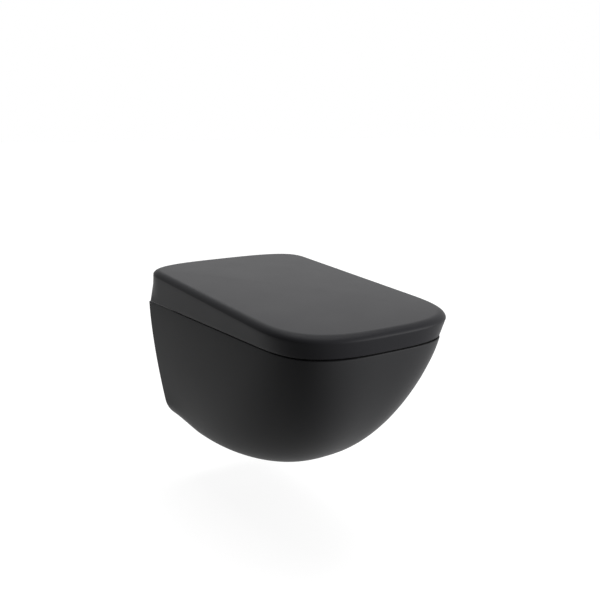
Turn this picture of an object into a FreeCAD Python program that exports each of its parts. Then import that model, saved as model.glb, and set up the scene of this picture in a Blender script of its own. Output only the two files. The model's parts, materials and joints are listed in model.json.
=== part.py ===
"""Wall hung toilet with a soft-close seat and a wedge shaped lid.

Frame: the origin is on the wall, midway between the two wall studs. +Z is up, +X is to the right of
somebody who faces the wall, and the wall fills the +Y side, so the pan reaches out along -Y.
Heights named "rise" and "depth" are measured up and down from the pan's rim.
All sizes are in millimetres.
"""
import FreeCAD
import Part
import math
import os

# ---------------------------------------------------------------- driving dimensions
# the pan's place on the wall, from the usual wall frame
RIM_ABOVE_STUDS = 80.0
STUD_SPACING = 180.0
INLET_ABOVE_STUDS = 35.0
OUTLET_BELOW_STUDS = 100.0

# outer form of the pan
PAN_DEPTH = 276.0
RIM_HALF_WIDTH = 164.3
RIM_FRONT = 571.0
BASE_HALF_WIDTH = 93.0
BASE_FRONT = 261.0
PROFILE_POWER = 1.42
SIDE_POWER = 2.3
PROW_POWER = 2.15
RIM_SIDE_END = 390.0
BASE_SIDE_END = 96.0
RIM_CORNER_POWER = 3.8
BASE_CORNER_POWER = 2.4
PLATE_EDGE = 10.0
FLARE_LENGTH = 94.5
FLARE_POWER = 1.82
PLATE_HEIGHT = 270.5
PLATE_TAPER = 38.0
PLATE_TAPER_POWER = 1.55
PLATE_CORNER = 49.5
SHELL_WALL = 11.0
DECK_THICKNESS = 15.0
WEB_THICKNESS = 14.0

# bowl, trap, inlet and outlet
BOWL_WALL = 10.0
BOWL_CENTRE = 380.0
BOWL_HALF_LENGTH = 160.0
BOWL_HALF_WIDTH = 111.0
TRAP_RADIUS = 28.0
TRAP_WALL = 9.0
TRAP_BEND_RADIUS = 39.5
INLET_RADIUS = 27.5
INLET_WALL = 9.0
INLET_LENGTH = 232.0
PIPE_SLEEVE_RADIUS = 22.6
OUTLET_RADIUS = 45.0
OUTLET_LENGTH = 38.0
OUTLET_CONE_LENGTH = 24.0
SPIGOT_RADIUS = 51.0

# lid
LID_GAP = 3.0
LID_BOTTOM_HALF_WIDTH = 168.0
LID_TOP_HALF_WIDTH = 180.0
LID_BOTTOM_FRONT = 573.0
LID_TOP_FRONT = 577.0
LID_BOTTOM_BACK = 5.5
LID_TOP_BACK = 7.0
LID_FRONT_RISE = 28.0
LID_BACK_RISE = 66.5
LID_SIDE_END = 416.0
LID_CORNER_POWER = 3.2
LID_BACK_SIDE_END = 86.0
LID_BACK_CORNER_POWER = 3.25
LID_BOTTOM_BACK_SIDE_END = 30.0
LID_BOTTOM_BACK_CORNER_POWER = 10.0
LID_EDGE_WIDTH = 16.0
LID_EDGE_RISE = 11.0
LID_CROWN = 4.0
LID_WALL = 4.5
LID_BUFFER_HEIGHT = 4.0

# seat
SEAT_BOTTOM = 6.0
SEAT_TOP = 24.0
SEAT_HALF_WIDTH = 156.0
SEAT_FRONT = 563.0
SEAT_BACK = 72.0
SEAT_SIDE_END = 410.0
SEAT_REAR_RADIUS = 18.0
SEAT_ROLL = 7.0
SEAT_OPENING_HALF_WIDTH = 103.0
SEAT_OPENING_HALF_LENGTH = 152.0
SEAT_OPENING_CENTRE = 362.0

# hinge line and hinges
HINGE_BACK = 50.0
HINGE_RISE = 46.0
HINGE_HOLE_SPACING = 155.0
REAR_SWING_RADIUS = 44.6
SKIRT_PASSES_PAN = 165.2
REAR_OPENING_HALF_WIDTH = 159.0
HINGE_WINDOW = (57.0, 129.0)
BLOCK_WIDTH = 31.0
BLOCK_DEPTH = 28.0
BLOCK_BOTTOM = 6.2
BARREL_RADIUS = 13.5
KNUCKLE_WIDTH = 14.0
KNUCKLE_RADIUS = 10.0
KNUCKLE_GAP = 1.2
SHAFT_RADIUS = 4.0
SHAFT_FLATS = 6.0
DAMPER_RADIUS = 9.0
BUSH_RADIUS = 6.0
RUNNING_GAP = 0.05
POST_RADIUS = 5.0
POST_TOP = 26.0
GROOVE_BOTTOM = 14.0
GROOVE_HEIGHT = 2.4
GROOVE_RADIUS = 3.8
CLIP_WIRE_RADIUS = 0.9
BUTTON_WIDTH = 12.0
BUTTON_HEIGHT = 7.0
BUTTON_PROUD = 3.5

# seat fixing
FIXING_HOLE_RADIUS = 8.0
ROSETTE_RADIUS = 15.0
ROSETTE_THICKNESS = 3.0
GASKET_THICKNESS = 1.0
STUD_RADIUS = 3.0
PLUG_LENGTH = 40.0

# wall brackets
BRACKET_INNER = 60.0
BRACKET_OUTER = 108.0
BRACKET_WINDOW_GAP = 3.0
BRACKET_TOP = 24.0
BRACKET_BOTTOM = 42.0
BRACKET_THICKNESS = 6.0
BRACKET_REACH = 60.0
BRACKET_HOLE_RADIUS = 6.5
LEDGE_THICKNESS = 12.0
LEDGE_HOLE_RADIUS = 9.0
ACCESS_HOLE_RADIUS = 9.0
SCREW_X = 72.0
SCREW_BACK = 46.0
SCREW_RADIUS = 4.0

V = FreeCAD.Vector
UP = V(0, 0, 1)
DOWN = V(0, 0, -1)
ACROSS = V(1, 0, 0)
OUT = V(0, -1, 0)
BACK = V(0, 1, 0)
SIDES = {"left": -1, "right": 1}


# ---------------------------------------------------------------- small helpers
def place(x, out, rise):
    """A point from its distance out of the wall and its rise over the rim."""
    return V(x, -out, RIM_ABOVE_STUDS + rise)


def box(x0, x1, out0, out1, rise0, rise1):
    """A box between two distances out of the wall and two rises over the rim."""
    return Part.makeBox(x1 - x0, out1 - out0, rise1 - rise0, place(x0, out1, rise0))


def rod(radius, length, start, direction):
    return Part.makeCylinder(radius, length, start, direction)


def turned(profile, x, out):
    """Solid of revolution about an upright axis, from (radius, rise) corners."""
    corners = [place(radius, 0, rise) for radius, rise in profile]
    face = Part.Face(Part.makePolygon(corners + corners[:1]))
    solid = face.revolve(V(0, 0, 0), UP, 360)
    solid.translate(V(x, -out, 0))
    return solid


def prism(corners, x0, x1):
    """Extrusion along X of a polygon whose corners are (out, rise)."""
    points = [place(x0, out, rise) for out, rise in corners]
    face = Part.Face(Part.makePolygon(points + points[:1]))
    return face.extrude(V(x1 - x0, 0, 0))


def slab(corners, rise, height):
    """Extrusion upwards of a polygon whose corners are (x, out)."""
    points = [place(x, out, rise) for x, out in corners]
    face = Part.Face(Part.makePolygon(points + points[:1]))
    return face.extrude(V(0, 0, height))


def hexagon(radius, x, out, rise, height):
    corners = [(x + radius * math.cos(turn * math.pi / 3), out + radius * math.sin(turn * math.pi / 3))
               for turn in range(6)]
    return slab(corners, rise, height)


def blend(start, end, share):
    return start + (end - start) * share


def superellipse(half_width, length, power, steps):
    """Quarter of a superellipse from its tip (0, length) to its side (half_width, 0)."""
    points = []
    for step in range(steps + 1):
        angle = 0.5 * math.pi * step / steps
        across = half_width * math.sin(angle) ** (2 / power)
        along = length * max(math.cos(angle), 0.0) ** (2 / power)
        points.append((across, along))
    return points


def closed_curve(points, shares=None):
    """Smooth closed wire through the points; shares set where along it each point lies."""
    curve = Part.BSplineCurve()
    if shares:
        curve.interpolate(Points=points, PeriodicFlag=True, Parameters=shares)
    else:
        curve.interpolate(Points=points, PeriodicFlag=True)
    return Part.Wire([curve.toShape()])


def length_shares(points):
    """Share of the way round a closed ring at which each point lies, ending with 1."""
    shares = [0.0]
    for point, following in zip(points, points[1:] + points[:1]):
        shares.append(shares[-1] + (following - point).Length)
    return [share / shares[-1] for share in shares]


def solid_of(faces):
    shell = Part.Shell(faces)
    shell.sewShape()
    solid = Part.Solid(shell)
    if solid.Volume < 0:
        solid.reverse()
    return solid


def join(solids):
    body = solids[0].fuse(solids[1:]) if len(solids) > 1 else solids[0]
    return body.removeSplitter()


# ---------------------------------------------------------------- ceramic pan
def plate_half_width(depth):
    """Half width of the pan's edge on the wall, narrower and rounded off towards its lower end."""
    width = RIM_HALF_WIDTH - PLATE_TAPER * (depth / PLATE_HEIGHT) ** PLATE_TAPER_POWER
    into_corner = (depth - (PLATE_HEIGHT - PLATE_CORNER)) / PLATE_CORNER
    if into_corner <= 0:
        return width
    drop = 1 - math.sqrt(max(0.0, 1 - min(into_corner, 1.0) ** 2))
    return width - PLATE_CORNER * drop


def pan_section(share, inset, bottom):
    """Level outline of the pan at a share of its depth, drawn in by inset, as a closed wire."""
    shrink = 1 - share ** PROFILE_POWER
    depth = share * bottom
    half_width = blend(BASE_HALF_WIDTH, RIM_HALF_WIDTH, shrink ** (1 / SIDE_POWER)) - inset
    front = blend(BASE_FRONT, RIM_FRONT, shrink ** (1 / PROW_POWER)) - inset
    side_end = blend(RIM_SIDE_END, BASE_SIDE_END, share)
    power = blend(RIM_CORNER_POWER, BASE_CORNER_POWER, share)
    plate = plate_half_width(share * PAN_DEPTH) - inset

    def side(out):
        flare = min(max(1 - (out - PLATE_EDGE) / FLARE_LENGTH, 0.0), 1.0)
        return half_width + (plate - half_width) * flare ** FLARE_POWER

    behind_wall = 16.0
    outs = [-behind_wall, 0.0, 0.5 * PLATE_EDGE, PLATE_EDGE]
    flare_steps = 9
    outs += [PLATE_EDGE + FLARE_LENGTH * (step + 1) / flare_steps for step in range(flare_steps)]
    straight = side_end - outs[-1]
    straight_steps = 5
    if straight > 20:
        outs += [outs[-1] + straight * (step + 1) / (straight_steps + 1)
                 for step in range(straight_steps)]
    left = [(side(out), out) for out in outs if out < side_end - 8]
    corner = superellipse(half_width, front - side_end, power, 18)
    left += [(across, side_end + along) for across, along in reversed(corner)]
    right = [(-across, out) for across, out in reversed(left[:-1])]
    points = [place(-across, out, -depth) for across, out in left + right]
    curve = Part.BSplineCurve()
    curve.interpolate(points)
    return Part.Wire([curve.toShape(), Part.makeLine(points[-1], points[0])])


def pan_form(inset, bottom):
    """The pan's outer form, or the hollow inside it, from the rim plane down, cut off at the wall."""
    steps = 11
    shares = [math.sin(0.5 * math.pi * step / steps) ** (2 / PROFILE_POWER)
              for step in range(steps + 1)]
    wires = [pan_section(min(share, 1.0), inset, bottom) for share in shares]
    form = Part.makeLoft(wires, True, False)
    return form.common(box(-300, 300, 0, 700, -400, 10))


def bowl_form(wall):
    """The bowl's inner space, or its outer skin when wall is more than 0."""
    stations = (
        # depth, half width, half length, centre
        (-4, 0.0, 0.0, 0),
        (8, 0.0, 0.0, 0),
        (40, -3.0, -3.0, -1),
        (80, -9.0, -13.0, -6),
        (120, -20.0, -33.0, -20),
        (155, -36.0, -62.0, -44),
        (185, -56.0, -94.0, -72),
        (210, -73.0, -119.0, -92),
        (228, -83.0, -131.0, -98),
    )
    wires = []
    for depth, narrower, shorter, back in stations:
        half_width = BOWL_HALF_WIDTH + narrower + wall
        half_length = BOWL_HALF_LENGTH + shorter + wall
        centre = BOWL_CENTRE + back
        quarter = superellipse(half_width, half_length, 2.3, 9)
        ring = [(x, y) for x, y in quarter]
        ring += [(x, -y) for x, y in reversed(quarter[:-1])]
        ring += [(-x, -y) for x, y in quarter[1:]]
        ring += [(-x, y) for x, y in reversed(quarter[1:-1])]
        lower = wall if depth > 40 else 0.0
        wires.append(closed_curve([place(x, centre + y, -depth - lower) for x, y in ring]))
    return Part.makeLoft(wires, True, False)


def trap_form(radius, outlet_radius):
    """The waterway from the foot of the bowl, up over the weir and down to the outlet."""
    sump = V(0, -300, RIM_ABOVE_STUDS - 217)
    dip = V(0, -212, RIM_ABOVE_STUDS - 217)
    weir = V(0, -188, RIM_ABOVE_STUDS - 112)
    crest = V(0, -128, RIM_ABOVE_STUDS - 112)
    outlet_rise = -OUTLET_BELOW_STUDS
    fall = V(0, -104, outlet_rise)
    path = rounded_path([sump, dip, weir, crest, fall, V(0, -58, outlet_rise)], TRAP_BEND_RADIUS)
    section = Part.Wire([Part.makeCircle(radius, sump, BACK)])
    pipe = path.makePipeShell([section], True, False)
    cone_start = V(0, -OUTLET_LENGTH + 2 - OUTLET_CONE_LENGTH, outlet_rise)
    cone = Part.makeCone(radius, outlet_radius, OUTLET_CONE_LENGTH, cone_start, BACK)
    spigot = rod(outlet_radius, OUTLET_LENGTH, V(0, -OUTLET_LENGTH, outlet_rise), BACK)
    return join([pipe, cone, spigot])


def rounded_path(points, radius):
    """Straight runs through the points, with an arc of one radius at each corner."""
    edges = []
    start = points[0]
    for before, corner, after in zip(points, points[1:], points[2:]):
        to_before = (before - corner)
        to_after = (after - corner)
        to_before.normalize()
        to_after.normalize()
        half_turn = 0.5 * (math.pi - to_before.getAngle(to_after))
        cut = radius * math.tan(half_turn)
        first = corner + to_before * cut
        last = corner + to_after * cut
        inward = to_before + to_after
        inward.normalize()
        centre = corner + inward * (radius / math.cos(half_turn))
        middle = centre - inward * radius
        if (first - start).Length > 0.01:
            edges.append(Part.makeLine(start, first))
        edges.append(Part.Arc(first, middle, last).toShape())
        start = last
    edges.append(Part.makeLine(start, points[-1]))
    return Part.Wire(edges)


def ceramic_pan():
    outer = pan_form(0.0, PAN_DEPTH)
    hollow = pan_form(SHELL_WALL, PAN_DEPTH - SHELL_WALL)
    hollow = hollow.common(box(-300, 300, WEB_THICKNESS, 700, -400, -DECK_THICKNESS))
    shell = outer.cut(hollow)

    bowl_skin = bowl_form(BOWL_WALL).common(outer)
    trap_skin = trap_form(TRAP_RADIUS + TRAP_WALL, SPIGOT_RADIUS).common(outer)
    inlet_centre = place(0, 0, INLET_ABOVE_STUDS - RIM_ABOVE_STUDS)
    inlet_skin = rod(INLET_RADIUS + INLET_WALL, INLET_LENGTH, inlet_centre, OUT)
    ledge_rise = -RIM_ABOVE_STUDS - BRACKET_BOTTOM + BRACKET_THICKNESS
    ledge = box(-150, 150, WEB_THICKNESS - 1, BRACKET_REACH + 6, ledge_rise,
                ledge_rise + LEDGE_THICKNESS).common(outer)
    body = shell.fuse([bowl_skin, trap_skin, inlet_skin, ledge])

    cuts = [bowl_form(0.0), trap_form(TRAP_RADIUS, OUTLET_RADIUS)]
    cuts.append(rod(INLET_RADIUS, INLET_LENGTH + 8, inlet_centre + BACK, OUT))
    for side in SIDES.values():
        x0, x1 = bracket_span(side)
        cuts.append(box(x0 - BRACKET_WINDOW_GAP, x1 + BRACKET_WINDOW_GAP, -2, WEB_THICKNESS + 1,
                        ledge_rise - 8, -RIM_ABOVE_STUDS + BRACKET_TOP + 5))
        screw_x = side * SCREW_X
        cuts.append(rod(LEDGE_HOLE_RADIUS, 40, place(screw_x, SCREW_BACK, ledge_rise - 5), UP))
        cuts.append(rod(ACCESS_HOLE_RADIUS, 155, place(screw_x, SCREW_BACK, -PAN_DEPTH - 5), UP))
        cuts.append(rod(FIXING_HOLE_RADIUS, 30,
                        place(side * 0.5 * HINGE_HOLE_SPACING, HINGE_BACK, 2), DOWN))
    return body.cut(cuts)


def inlet_seal():
    """Rubber sleeve in the inlet, with a lead-in at the wall for the flush pipe."""
    corners = [(27.4, 1), (27.4, 26), (26, 28), (PIPE_SLEEVE_RADIUS, 28), (PIPE_SLEEVE_RADIUS, 4),
               (24.2, 1)]
    centre = place(0, 0, INLET_ABOVE_STUDS - RIM_ABOVE_STUDS)
    points = [centre + V(radius, -out, 0) for radius, out in corners]
    face = Part.Face(Part.makePolygon(points + points[:1]))
    return face.revolve(centre, BACK, 360)


# ---------------------------------------------------------------- lid
def lid_ring(half_width, front, back, side_end, back_side_end, back_power):
    """Points round the lid at one level, as (across, out) pairs, the same number at any level."""
    front_corner = superellipse(half_width, front - side_end, LID_CORNER_POWER, 14)
    back_corner = superellipse(half_width, back_side_end - back, back_power, 14)
    half = [(across, side_end + along) for across, along in front_corner]
    straight_steps = 5
    for step in range(1, straight_steps):
        half.append((half_width, blend(side_end, back_side_end, step / straight_steps)))
    half += [(across, back_side_end - along) for across, along in reversed(back_corner)]
    return half + [(-across, out) for across, out in reversed(half[1:-1])]


def lid_top_ring(inset):
    return lid_ring(LID_TOP_HALF_WIDTH - inset, LID_TOP_FRONT - inset, LID_TOP_BACK + inset,
                    LID_SIDE_END, LID_BACK_SIDE_END, LID_BACK_CORNER_POWER)


def lid_bottom_ring(inset):
    return lid_ring(LID_BOTTOM_HALF_WIDTH - inset, LID_BOTTOM_FRONT - inset,
                    LID_BOTTOM_BACK + inset, LID_SIDE_END, LID_BOTTOM_BACK_SIDE_END,
                    LID_BOTTOM_BACK_CORNER_POWER)


def lid_slope(out):
    """Rise of the lid's upper edge, which falls from the wall to the front."""
    share = (out - LID_TOP_BACK) / (LID_TOP_FRONT - LID_TOP_BACK)
    return blend(LID_BACK_RISE, LID_FRONT_RISE, share)


def lid_form(inset, bottom, edge_width, edge_rise, crown):
    """The lid's outer form, or its hollow when inset is more than 0."""
    shares = length_shares([place(across, out, lid_slope(out))
                            for across, out in lid_top_ring(inset)])
    lower = closed_curve([place(across, out, bottom) for across, out in lid_bottom_ring(inset)],
                         shares)
    edge = []
    edge_steps = 5
    for step in range(edge_steps + 1):
        angle = 0.5 * math.pi * step / edge_steps
        ring = lid_top_ring(inset + edge_width * (1 - math.cos(angle)))
        lift = edge_rise * math.sin(angle)
        edge.append(closed_curve([place(across, out, lid_slope(out) + lift)
                                  for across, out in ring], shares))
    middle = 0.5 * (LID_TOP_FRONT + LID_TOP_BACK)
    crown_rings = [edge[-1]]
    rim = lid_top_ring(inset + edge_width)
    for share in (0.8, 0.6, 0.4, 0.2):
        lift = edge_rise + crown * (1 - share * share)
        ring = [(across * share, middle + (out - middle) * share) for across, out in rim]
        crown_rings.append(closed_curve([place(across, out, lid_slope(out) + lift)
                                         for across, out in ring], shares))
    skirt = Part.makeLoft([lower, edge[0]], False, True)
    rounded = Part.makeLoft(edge, False, False)
    crowned = Part.makeLoft(crown_rings, False, False)
    floor = Part.Face(lower)
    centre = Part.Face(crown_rings[-1])
    return solid_of(skirt.Faces + rounded.Faces + crowned.Faces + [floor, centre])


def lid_shell():
    """Lid with its hollow, open at the back for the hinges, and its ears and buffer bosses."""
    outer = lid_form(0.0, LID_GAP, LID_EDGE_WIDTH, LID_EDGE_RISE, LID_CROWN)
    hollow = lid_form(LID_WALL, LID_GAP - 1, LID_EDGE_WIDTH - 2, LID_EDGE_RISE - LID_WALL,
                      LID_CROWN)
    shell = outer.cut(hollow)

    inside = []
    for side in SIDES.values():
        inner, outer_face = knuckle_span(side, 1)
        ear = [(HINGE_BACK - KNUCKLE_RADIUS, HINGE_RISE), (HINGE_BACK + KNUCKLE_RADIUS, HINGE_RISE),
               (HINGE_BACK + 26, 90), (HINGE_BACK - KNUCKLE_RADIUS, 90)]
        inside.append(prism(ear, inner, outer_face))
        inside.append(rod(KNUCKLE_RADIUS, outer_face - inner,
                          place(inner, HINGE_BACK, HINGE_RISE), ACROSS))
        for x, out in lid_buffer_places(side):
            inside.append(rod(9, 60, place(x, out, SEAT_TOP + LID_BUFFER_HEIGHT), UP))
    inside = join(inside).common(outer)
    body = shell.fuse(inside)

    # what lies behind and below the hinge line swings down: it has to clear the pan's deck,
    # and only the skirts' thin rear corners reach lower, just outside the pan's sides
    inner = SKIRT_PASSES_PAN
    below_hinge = box(-inner, inner, -20, HINGE_BACK, -20, HINGE_RISE)
    swing = rod(REAR_SWING_RADIUS, 2 * inner, place(-inner, HINGE_BACK, HINGE_RISE), ACROSS)
    cuts = [below_hinge.cut(swing)]
    rear_wall_inside = HINGE_BACK - KNUCKLE_RADIUS - 1.5
    half = REAR_OPENING_HALF_WIDTH
    cuts.append(box(-half, half, -20, rear_wall_inside, -20, HINGE_RISE - 3))
    for side in SIDES.values():
        ends = sorted((side * HINGE_WINDOW[0], side * HINGE_WINDOW[1]))
        cuts.append(box(ends[0], ends[1], -20, rear_wall_inside, HINGE_RISE - 4, HINGE_RISE + 20.5))
    cuts.append(ear_hole(SIDES["right"], 1, rod(BUSH_RADIUS + 0.02, 60, V(-30, 0, 0), ACROSS)))
    cuts.append(ear_hole(SIDES["left"], 1, keyed_bar(SHAFT_RADIUS + 0.03, SHAFT_FLATS + 0.06, 60)))
    return body.cut(cuts)


def lid_buffer_places(side):
    return [(side * 126, 470), (side * 126, 250)]


def lid_buffers():
    """Four rubber pads under the lid's bosses, resting on the seat."""
    pads = []
    for side in SIDES.values():
        for x, out in lid_buffer_places(side):
            pads.append(rod(7, LID_BUFFER_HEIGHT, place(x, out, SEAT_TOP), UP))
    return Part.makeCompound(pads)


# ---------------------------------------------------------------- seat
def seat_outline(inset):
    """Closed outline of the seat, straight across at the back, as (across, out) pairs."""
    half_width = SEAT_HALF_WIDTH - inset
    corner = superellipse(half_width, SEAT_FRONT - inset - SEAT_SIDE_END, 3.2, 16)
    half = [(across, SEAT_SIDE_END + along) for across, along in corner]
    straight_steps = 6
    last = SEAT_BACK + inset + SEAT_REAR_RADIUS
    for step in range(1, straight_steps):
        half.append((half_width, blend(SEAT_SIDE_END, last, step / straight_steps)))
    corner_steps = 6
    for step in range(corner_steps + 1):
        angle = 0.5 * math.pi * step / corner_steps
        half.append((half_width - SEAT_REAR_RADIUS * (1 - math.cos(angle)),
                     last - SEAT_REAR_RADIUS * math.sin(angle)))
    return half


def outline_wire(half, rise):
    """Wire of a closed outline from its left half, with a straight run across the back."""
    points = [place(-across, out, rise) for across, out in reversed(half)]
    points += [place(across, out, rise) for across, out in half[1:]]
    curve = Part.BSplineCurve()
    curve.interpolate(points)
    return Part.Wire([curve.toShape(), Part.makeLine(points[-1], points[0])])


def opening_wire(grow, rise):
    quarter = superellipse(SEAT_OPENING_HALF_WIDTH + grow, SEAT_OPENING_HALF_LENGTH + grow, 2.3, 12)
    ring = [(x, y) for x, y in quarter]
    ring += [(x, -y) for x, y in reversed(quarter[:-1])]
    ring += [(-x, -y) for x, y in quarter[1:]]
    ring += [(-x, y) for x, y in reversed(quarter[1:-1])]
    return closed_curve([place(x, SEAT_OPENING_CENTRE + y, rise) for x, y in ring])


def seat_ring():
    """The seat with its rolled edges, its two hinge arms and their holes."""
    roll_steps = 4
    lower = [outline_wire(seat_outline(2.0), SEAT_BOTTOM),
             outline_wire(seat_outline(0.0), SEAT_BOTTOM + 2.0)]
    upper = []
    inner_upper = []
    for step in range(roll_steps + 1):
        angle = 0.5 * math.pi * step / roll_steps
        drawn_in = SEAT_ROLL * (1 - math.cos(angle))
        rise = SEAT_TOP - SEAT_ROLL * (1 - math.sin(angle))
        upper.append(outline_wire(seat_outline(drawn_in), rise))
        inner_upper.append(opening_wire(1.6 * drawn_in, rise))
    faces = Part.makeLoft(lower + upper[:1], False, True).Faces
    faces += Part.makeLoft(upper, False, False).Faces
    plate = solid_of(faces + [Part.Face(lower[0]), Part.Face(upper[-1])])
    hole_low = opening_wire(2.0, SEAT_BOTTOM - 1)
    hole_faces = Part.makeLoft([hole_low, opening_wire(0.0, SEAT_BOTTOM + 3)], False, True).Faces
    hole_faces += Part.makeLoft([opening_wire(0.0, SEAT_BOTTOM + 3), inner_upper[0]],
                                False, True).Faces
    hole_faces += Part.makeLoft(inner_upper, False, False).Faces
    above = opening_wire(1.6 * SEAT_ROLL, SEAT_TOP + 4)
    hole_faces += Part.makeLoft([inner_upper[-1], above], False, True).Faces
    hole = solid_of(hole_faces + [Part.Face(hole_low), Part.Face(above)])
    ring = plate.cut(hole)

    arms = []
    for side in SIDES.values():
        inner, outer_face = knuckle_span(side, 0)
        arm = [(SEAT_BACK + 34, SEAT_BOTTOM + 2), (SEAT_BACK + 46, SEAT_TOP - 1),
               (HINGE_BACK + 20, HINGE_RISE + 5), (HINGE_BACK + 3, HINGE_RISE + KNUCKLE_RADIUS - 0.5),
               (HINGE_BACK - KNUCKLE_RADIUS + 1, HINGE_RISE),
               (HINGE_BACK + 2, HINGE_RISE - KNUCKLE_RADIUS + 0.5), (SEAT_BACK + 4, SEAT_BOTTOM + 2)]
        arms.append(prism(arm, inner, outer_face))
        arms.append(rod(KNUCKLE_RADIUS, outer_face - inner,
                        place(inner, HINGE_BACK, HINGE_RISE), ACROSS))
    body = ring.fuse(arms)
    cuts = [ear_hole(SIDES["left"], 0, rod(BUSH_RADIUS + 0.02, 60, V(-30, 0, 0), ACROSS)),
            ear_hole(SIDES["right"], 0, keyed_bar(SHAFT_RADIUS + 0.03, SHAFT_FLATS + 0.06, 60))]
    return body.cut(cuts)


def seat_buffers():
    """Four rubber pads under the seat, standing on the pan's rim."""
    pads = []
    for side in SIDES.values():
        for x, out in ((side * 129, 455), (side * 129, 190)):
            pad = box(x - 8, x + 8, out - 18, out + 18, 0, SEAT_BOTTOM)
            upright = [edge for edge in pad.Edges if abs(edge.tangentAt(edge.FirstParameter).z) > 0.9]
            pads.append(pad.makeFillet(7.0, upright))
    return Part.makeCompound(pads)


# ---------------------------------------------------------------- hinges
def knuckle_span(side, place_out):
    """X range of a knuckle: place_out 0 is the seat's, beside the block, and 1 is the lid's."""
    start = 0.5 * (HINGE_HOLE_SPACING + BLOCK_WIDTH) + KNUCKLE_GAP
    start += place_out * (KNUCKLE_WIDTH + KNUCKLE_GAP)
    ends = sorted((side * start, side * (start + KNUCKLE_WIDTH)))
    return ends[0], ends[1]


def ear_hole(side, place_out, tool):
    """A tool that is centred on the origin, moved into a knuckle on the hinge line."""
    inner, outer_face = knuckle_span(side, place_out)
    middle = 0.5 * (inner + outer_face)
    moved = tool.copy()
    moved.translate(place(middle, HINGE_BACK, HINGE_RISE))
    return moved.common(box(inner - 0.5, outer_face + 0.5, 0, 100, 0, 90))


def keyed_bar(radius, flats, length):
    """Round bar along X with two flats, centred on the origin."""
    bar = rod(radius, length, V(-0.5 * length, 0, 0), ACROSS)
    between_flats = Part.makeBox(length, 4 * radius, flats,
                                 V(-0.5 * length, -2 * radius, -0.5 * flats))
    return bar.common(between_flats)


def block_span(side):
    centre = side * 0.5 * HINGE_HOLE_SPACING
    return centre - 0.5 * BLOCK_WIDTH, centre + 0.5 * BLOCK_WIDTH


def damper_span(side):
    """X range of a damper in its block, open towards the knuckles."""
    inner, outer_face = block_span(side)
    closed_wall = 3.0
    if side > 0:
        return inner + closed_wall, outer_face
    return inner, outer_face - closed_wall


def hinge_block(side):
    """Plastic block that clicks onto a post and holds a damper on the hinge line."""
    x0, x1 = block_span(side)
    half = 0.5 * BLOCK_DEPTH
    centre = 0.5 * (x0 + x1)
    body = box(x0, x1, HINGE_BACK - half, HINGE_BACK + half, BLOCK_BOTTOM, HINGE_RISE)
    upright = [edge for edge in body.Edges if abs(edge.tangentAt(edge.FirstParameter).z) > 0.9]
    body = body.makeFillet(3.0, upright)
    body = body.fuse(rod(BARREL_RADIUS, x1 - x0, place(x0, HINGE_BACK, HINGE_RISE), ACROSS))
    d0, d1 = damper_span(side)
    cuts = [rod(DAMPER_RADIUS + RUNNING_GAP, d1 - d0, place(d0, HINGE_BACK, HINGE_RISE), ACROSS)]
    cuts.append(box(d0, d1, HINGE_BACK - 1.6, HINGE_BACK + 1.6, HINGE_RISE,
                    HINGE_RISE + DAMPER_RADIUS + 1.6))
    cuts.append(rod(POST_RADIUS + RUNNING_GAP, POST_TOP - BLOCK_BOTTOM + 1.5,
                    place(centre, HINGE_BACK, BLOCK_BOTTOM - 1), UP))
    pocket = 0.5 * BUTTON_WIDTH + 0.1
    middle = GROOVE_BOTTOM + 0.5 * GROOVE_HEIGHT
    cuts.append(box(centre - pocket, centre + pocket, HINGE_BACK + POST_RADIUS + 2.5,
                    HINGE_BACK + half + 1, middle - 0.5 * BUTTON_HEIGHT - 0.1,
                    middle + 0.5 * BUTTON_HEIGHT + 0.1))
    clip_half = GROOVE_RADIUS + 2 * CLIP_WIRE_RADIUS + 1.4
    cuts.append(box(centre - clip_half, centre + clip_half, HINGE_BACK - 10.6, HINGE_BACK + half - 2,
                    GROOVE_BOTTOM - 0.2, GROOVE_BOTTOM + GROOVE_HEIGHT + 0.2))
    return body.cut(cuts)


def release_button(side):
    """Button in the front of a block; the wedge behind it spreads the clip."""
    centre = side * 0.5 * HINGE_HOLE_SPACING
    middle = GROOVE_BOTTOM + 0.5 * GROOVE_HEIGHT
    front = HINGE_BACK + 0.5 * BLOCK_DEPTH
    half = 0.5 * BUTTON_WIDTH
    head = box(centre - half, centre + half, front - 2.0, front + BUTTON_PROUD,
               middle - 0.5 * BUTTON_HEIGHT, middle + 0.5 * BUTTON_HEIGHT)
    edges = [edge for edge in head.Edges
             if min(vertex.Point.y for vertex in edge.Vertexes) < -front - BUTTON_PROUD + 0.1
             and max(vertex.Point.y for vertex in edge.Vertexes) < -front - BUTTON_PROUD + 0.1]
    head = head.makeFillet(1.2, edges)
    tip = clip_tip() + 0.3
    wedge = [(centre - 3.0, tip), (centre + 3.0, tip), (centre + 5.6, front - 1.9),
             (centre - 5.6, front - 1.9)]
    return head.fuse(slab(wedge, middle - 0.9, 1.8)).removeSplitter()


def clip_tip():
    """Distance out of the wall of the clips' free ends."""
    return HINGE_BACK + 9.0


def retaining_clip(side):
    """Spring wire bent to a U, whose two legs lie in the post's groove."""
    centre = side * 0.5 * HINGE_HOLE_SPACING
    middle = GROOVE_BOTTOM + 0.5 * GROOVE_HEIGHT
    offset = GROOVE_RADIUS + CLIP_WIRE_RADIUS + 0.05
    bend_out = HINGE_BACK - 4.5
    bend = Part.makeTorus(offset, CLIP_WIRE_RADIUS, V(0, 0, 0), UP, -180, 180, 180)
    bend.translate(place(centre, bend_out, middle))
    legs = [rod(CLIP_WIRE_RADIUS, clip_tip() - bend_out,
                place(centre + turn * offset, bend_out, middle), OUT) for turn in (-1, 1)]
    return bend.fuse(legs).removeSplitter()


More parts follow.
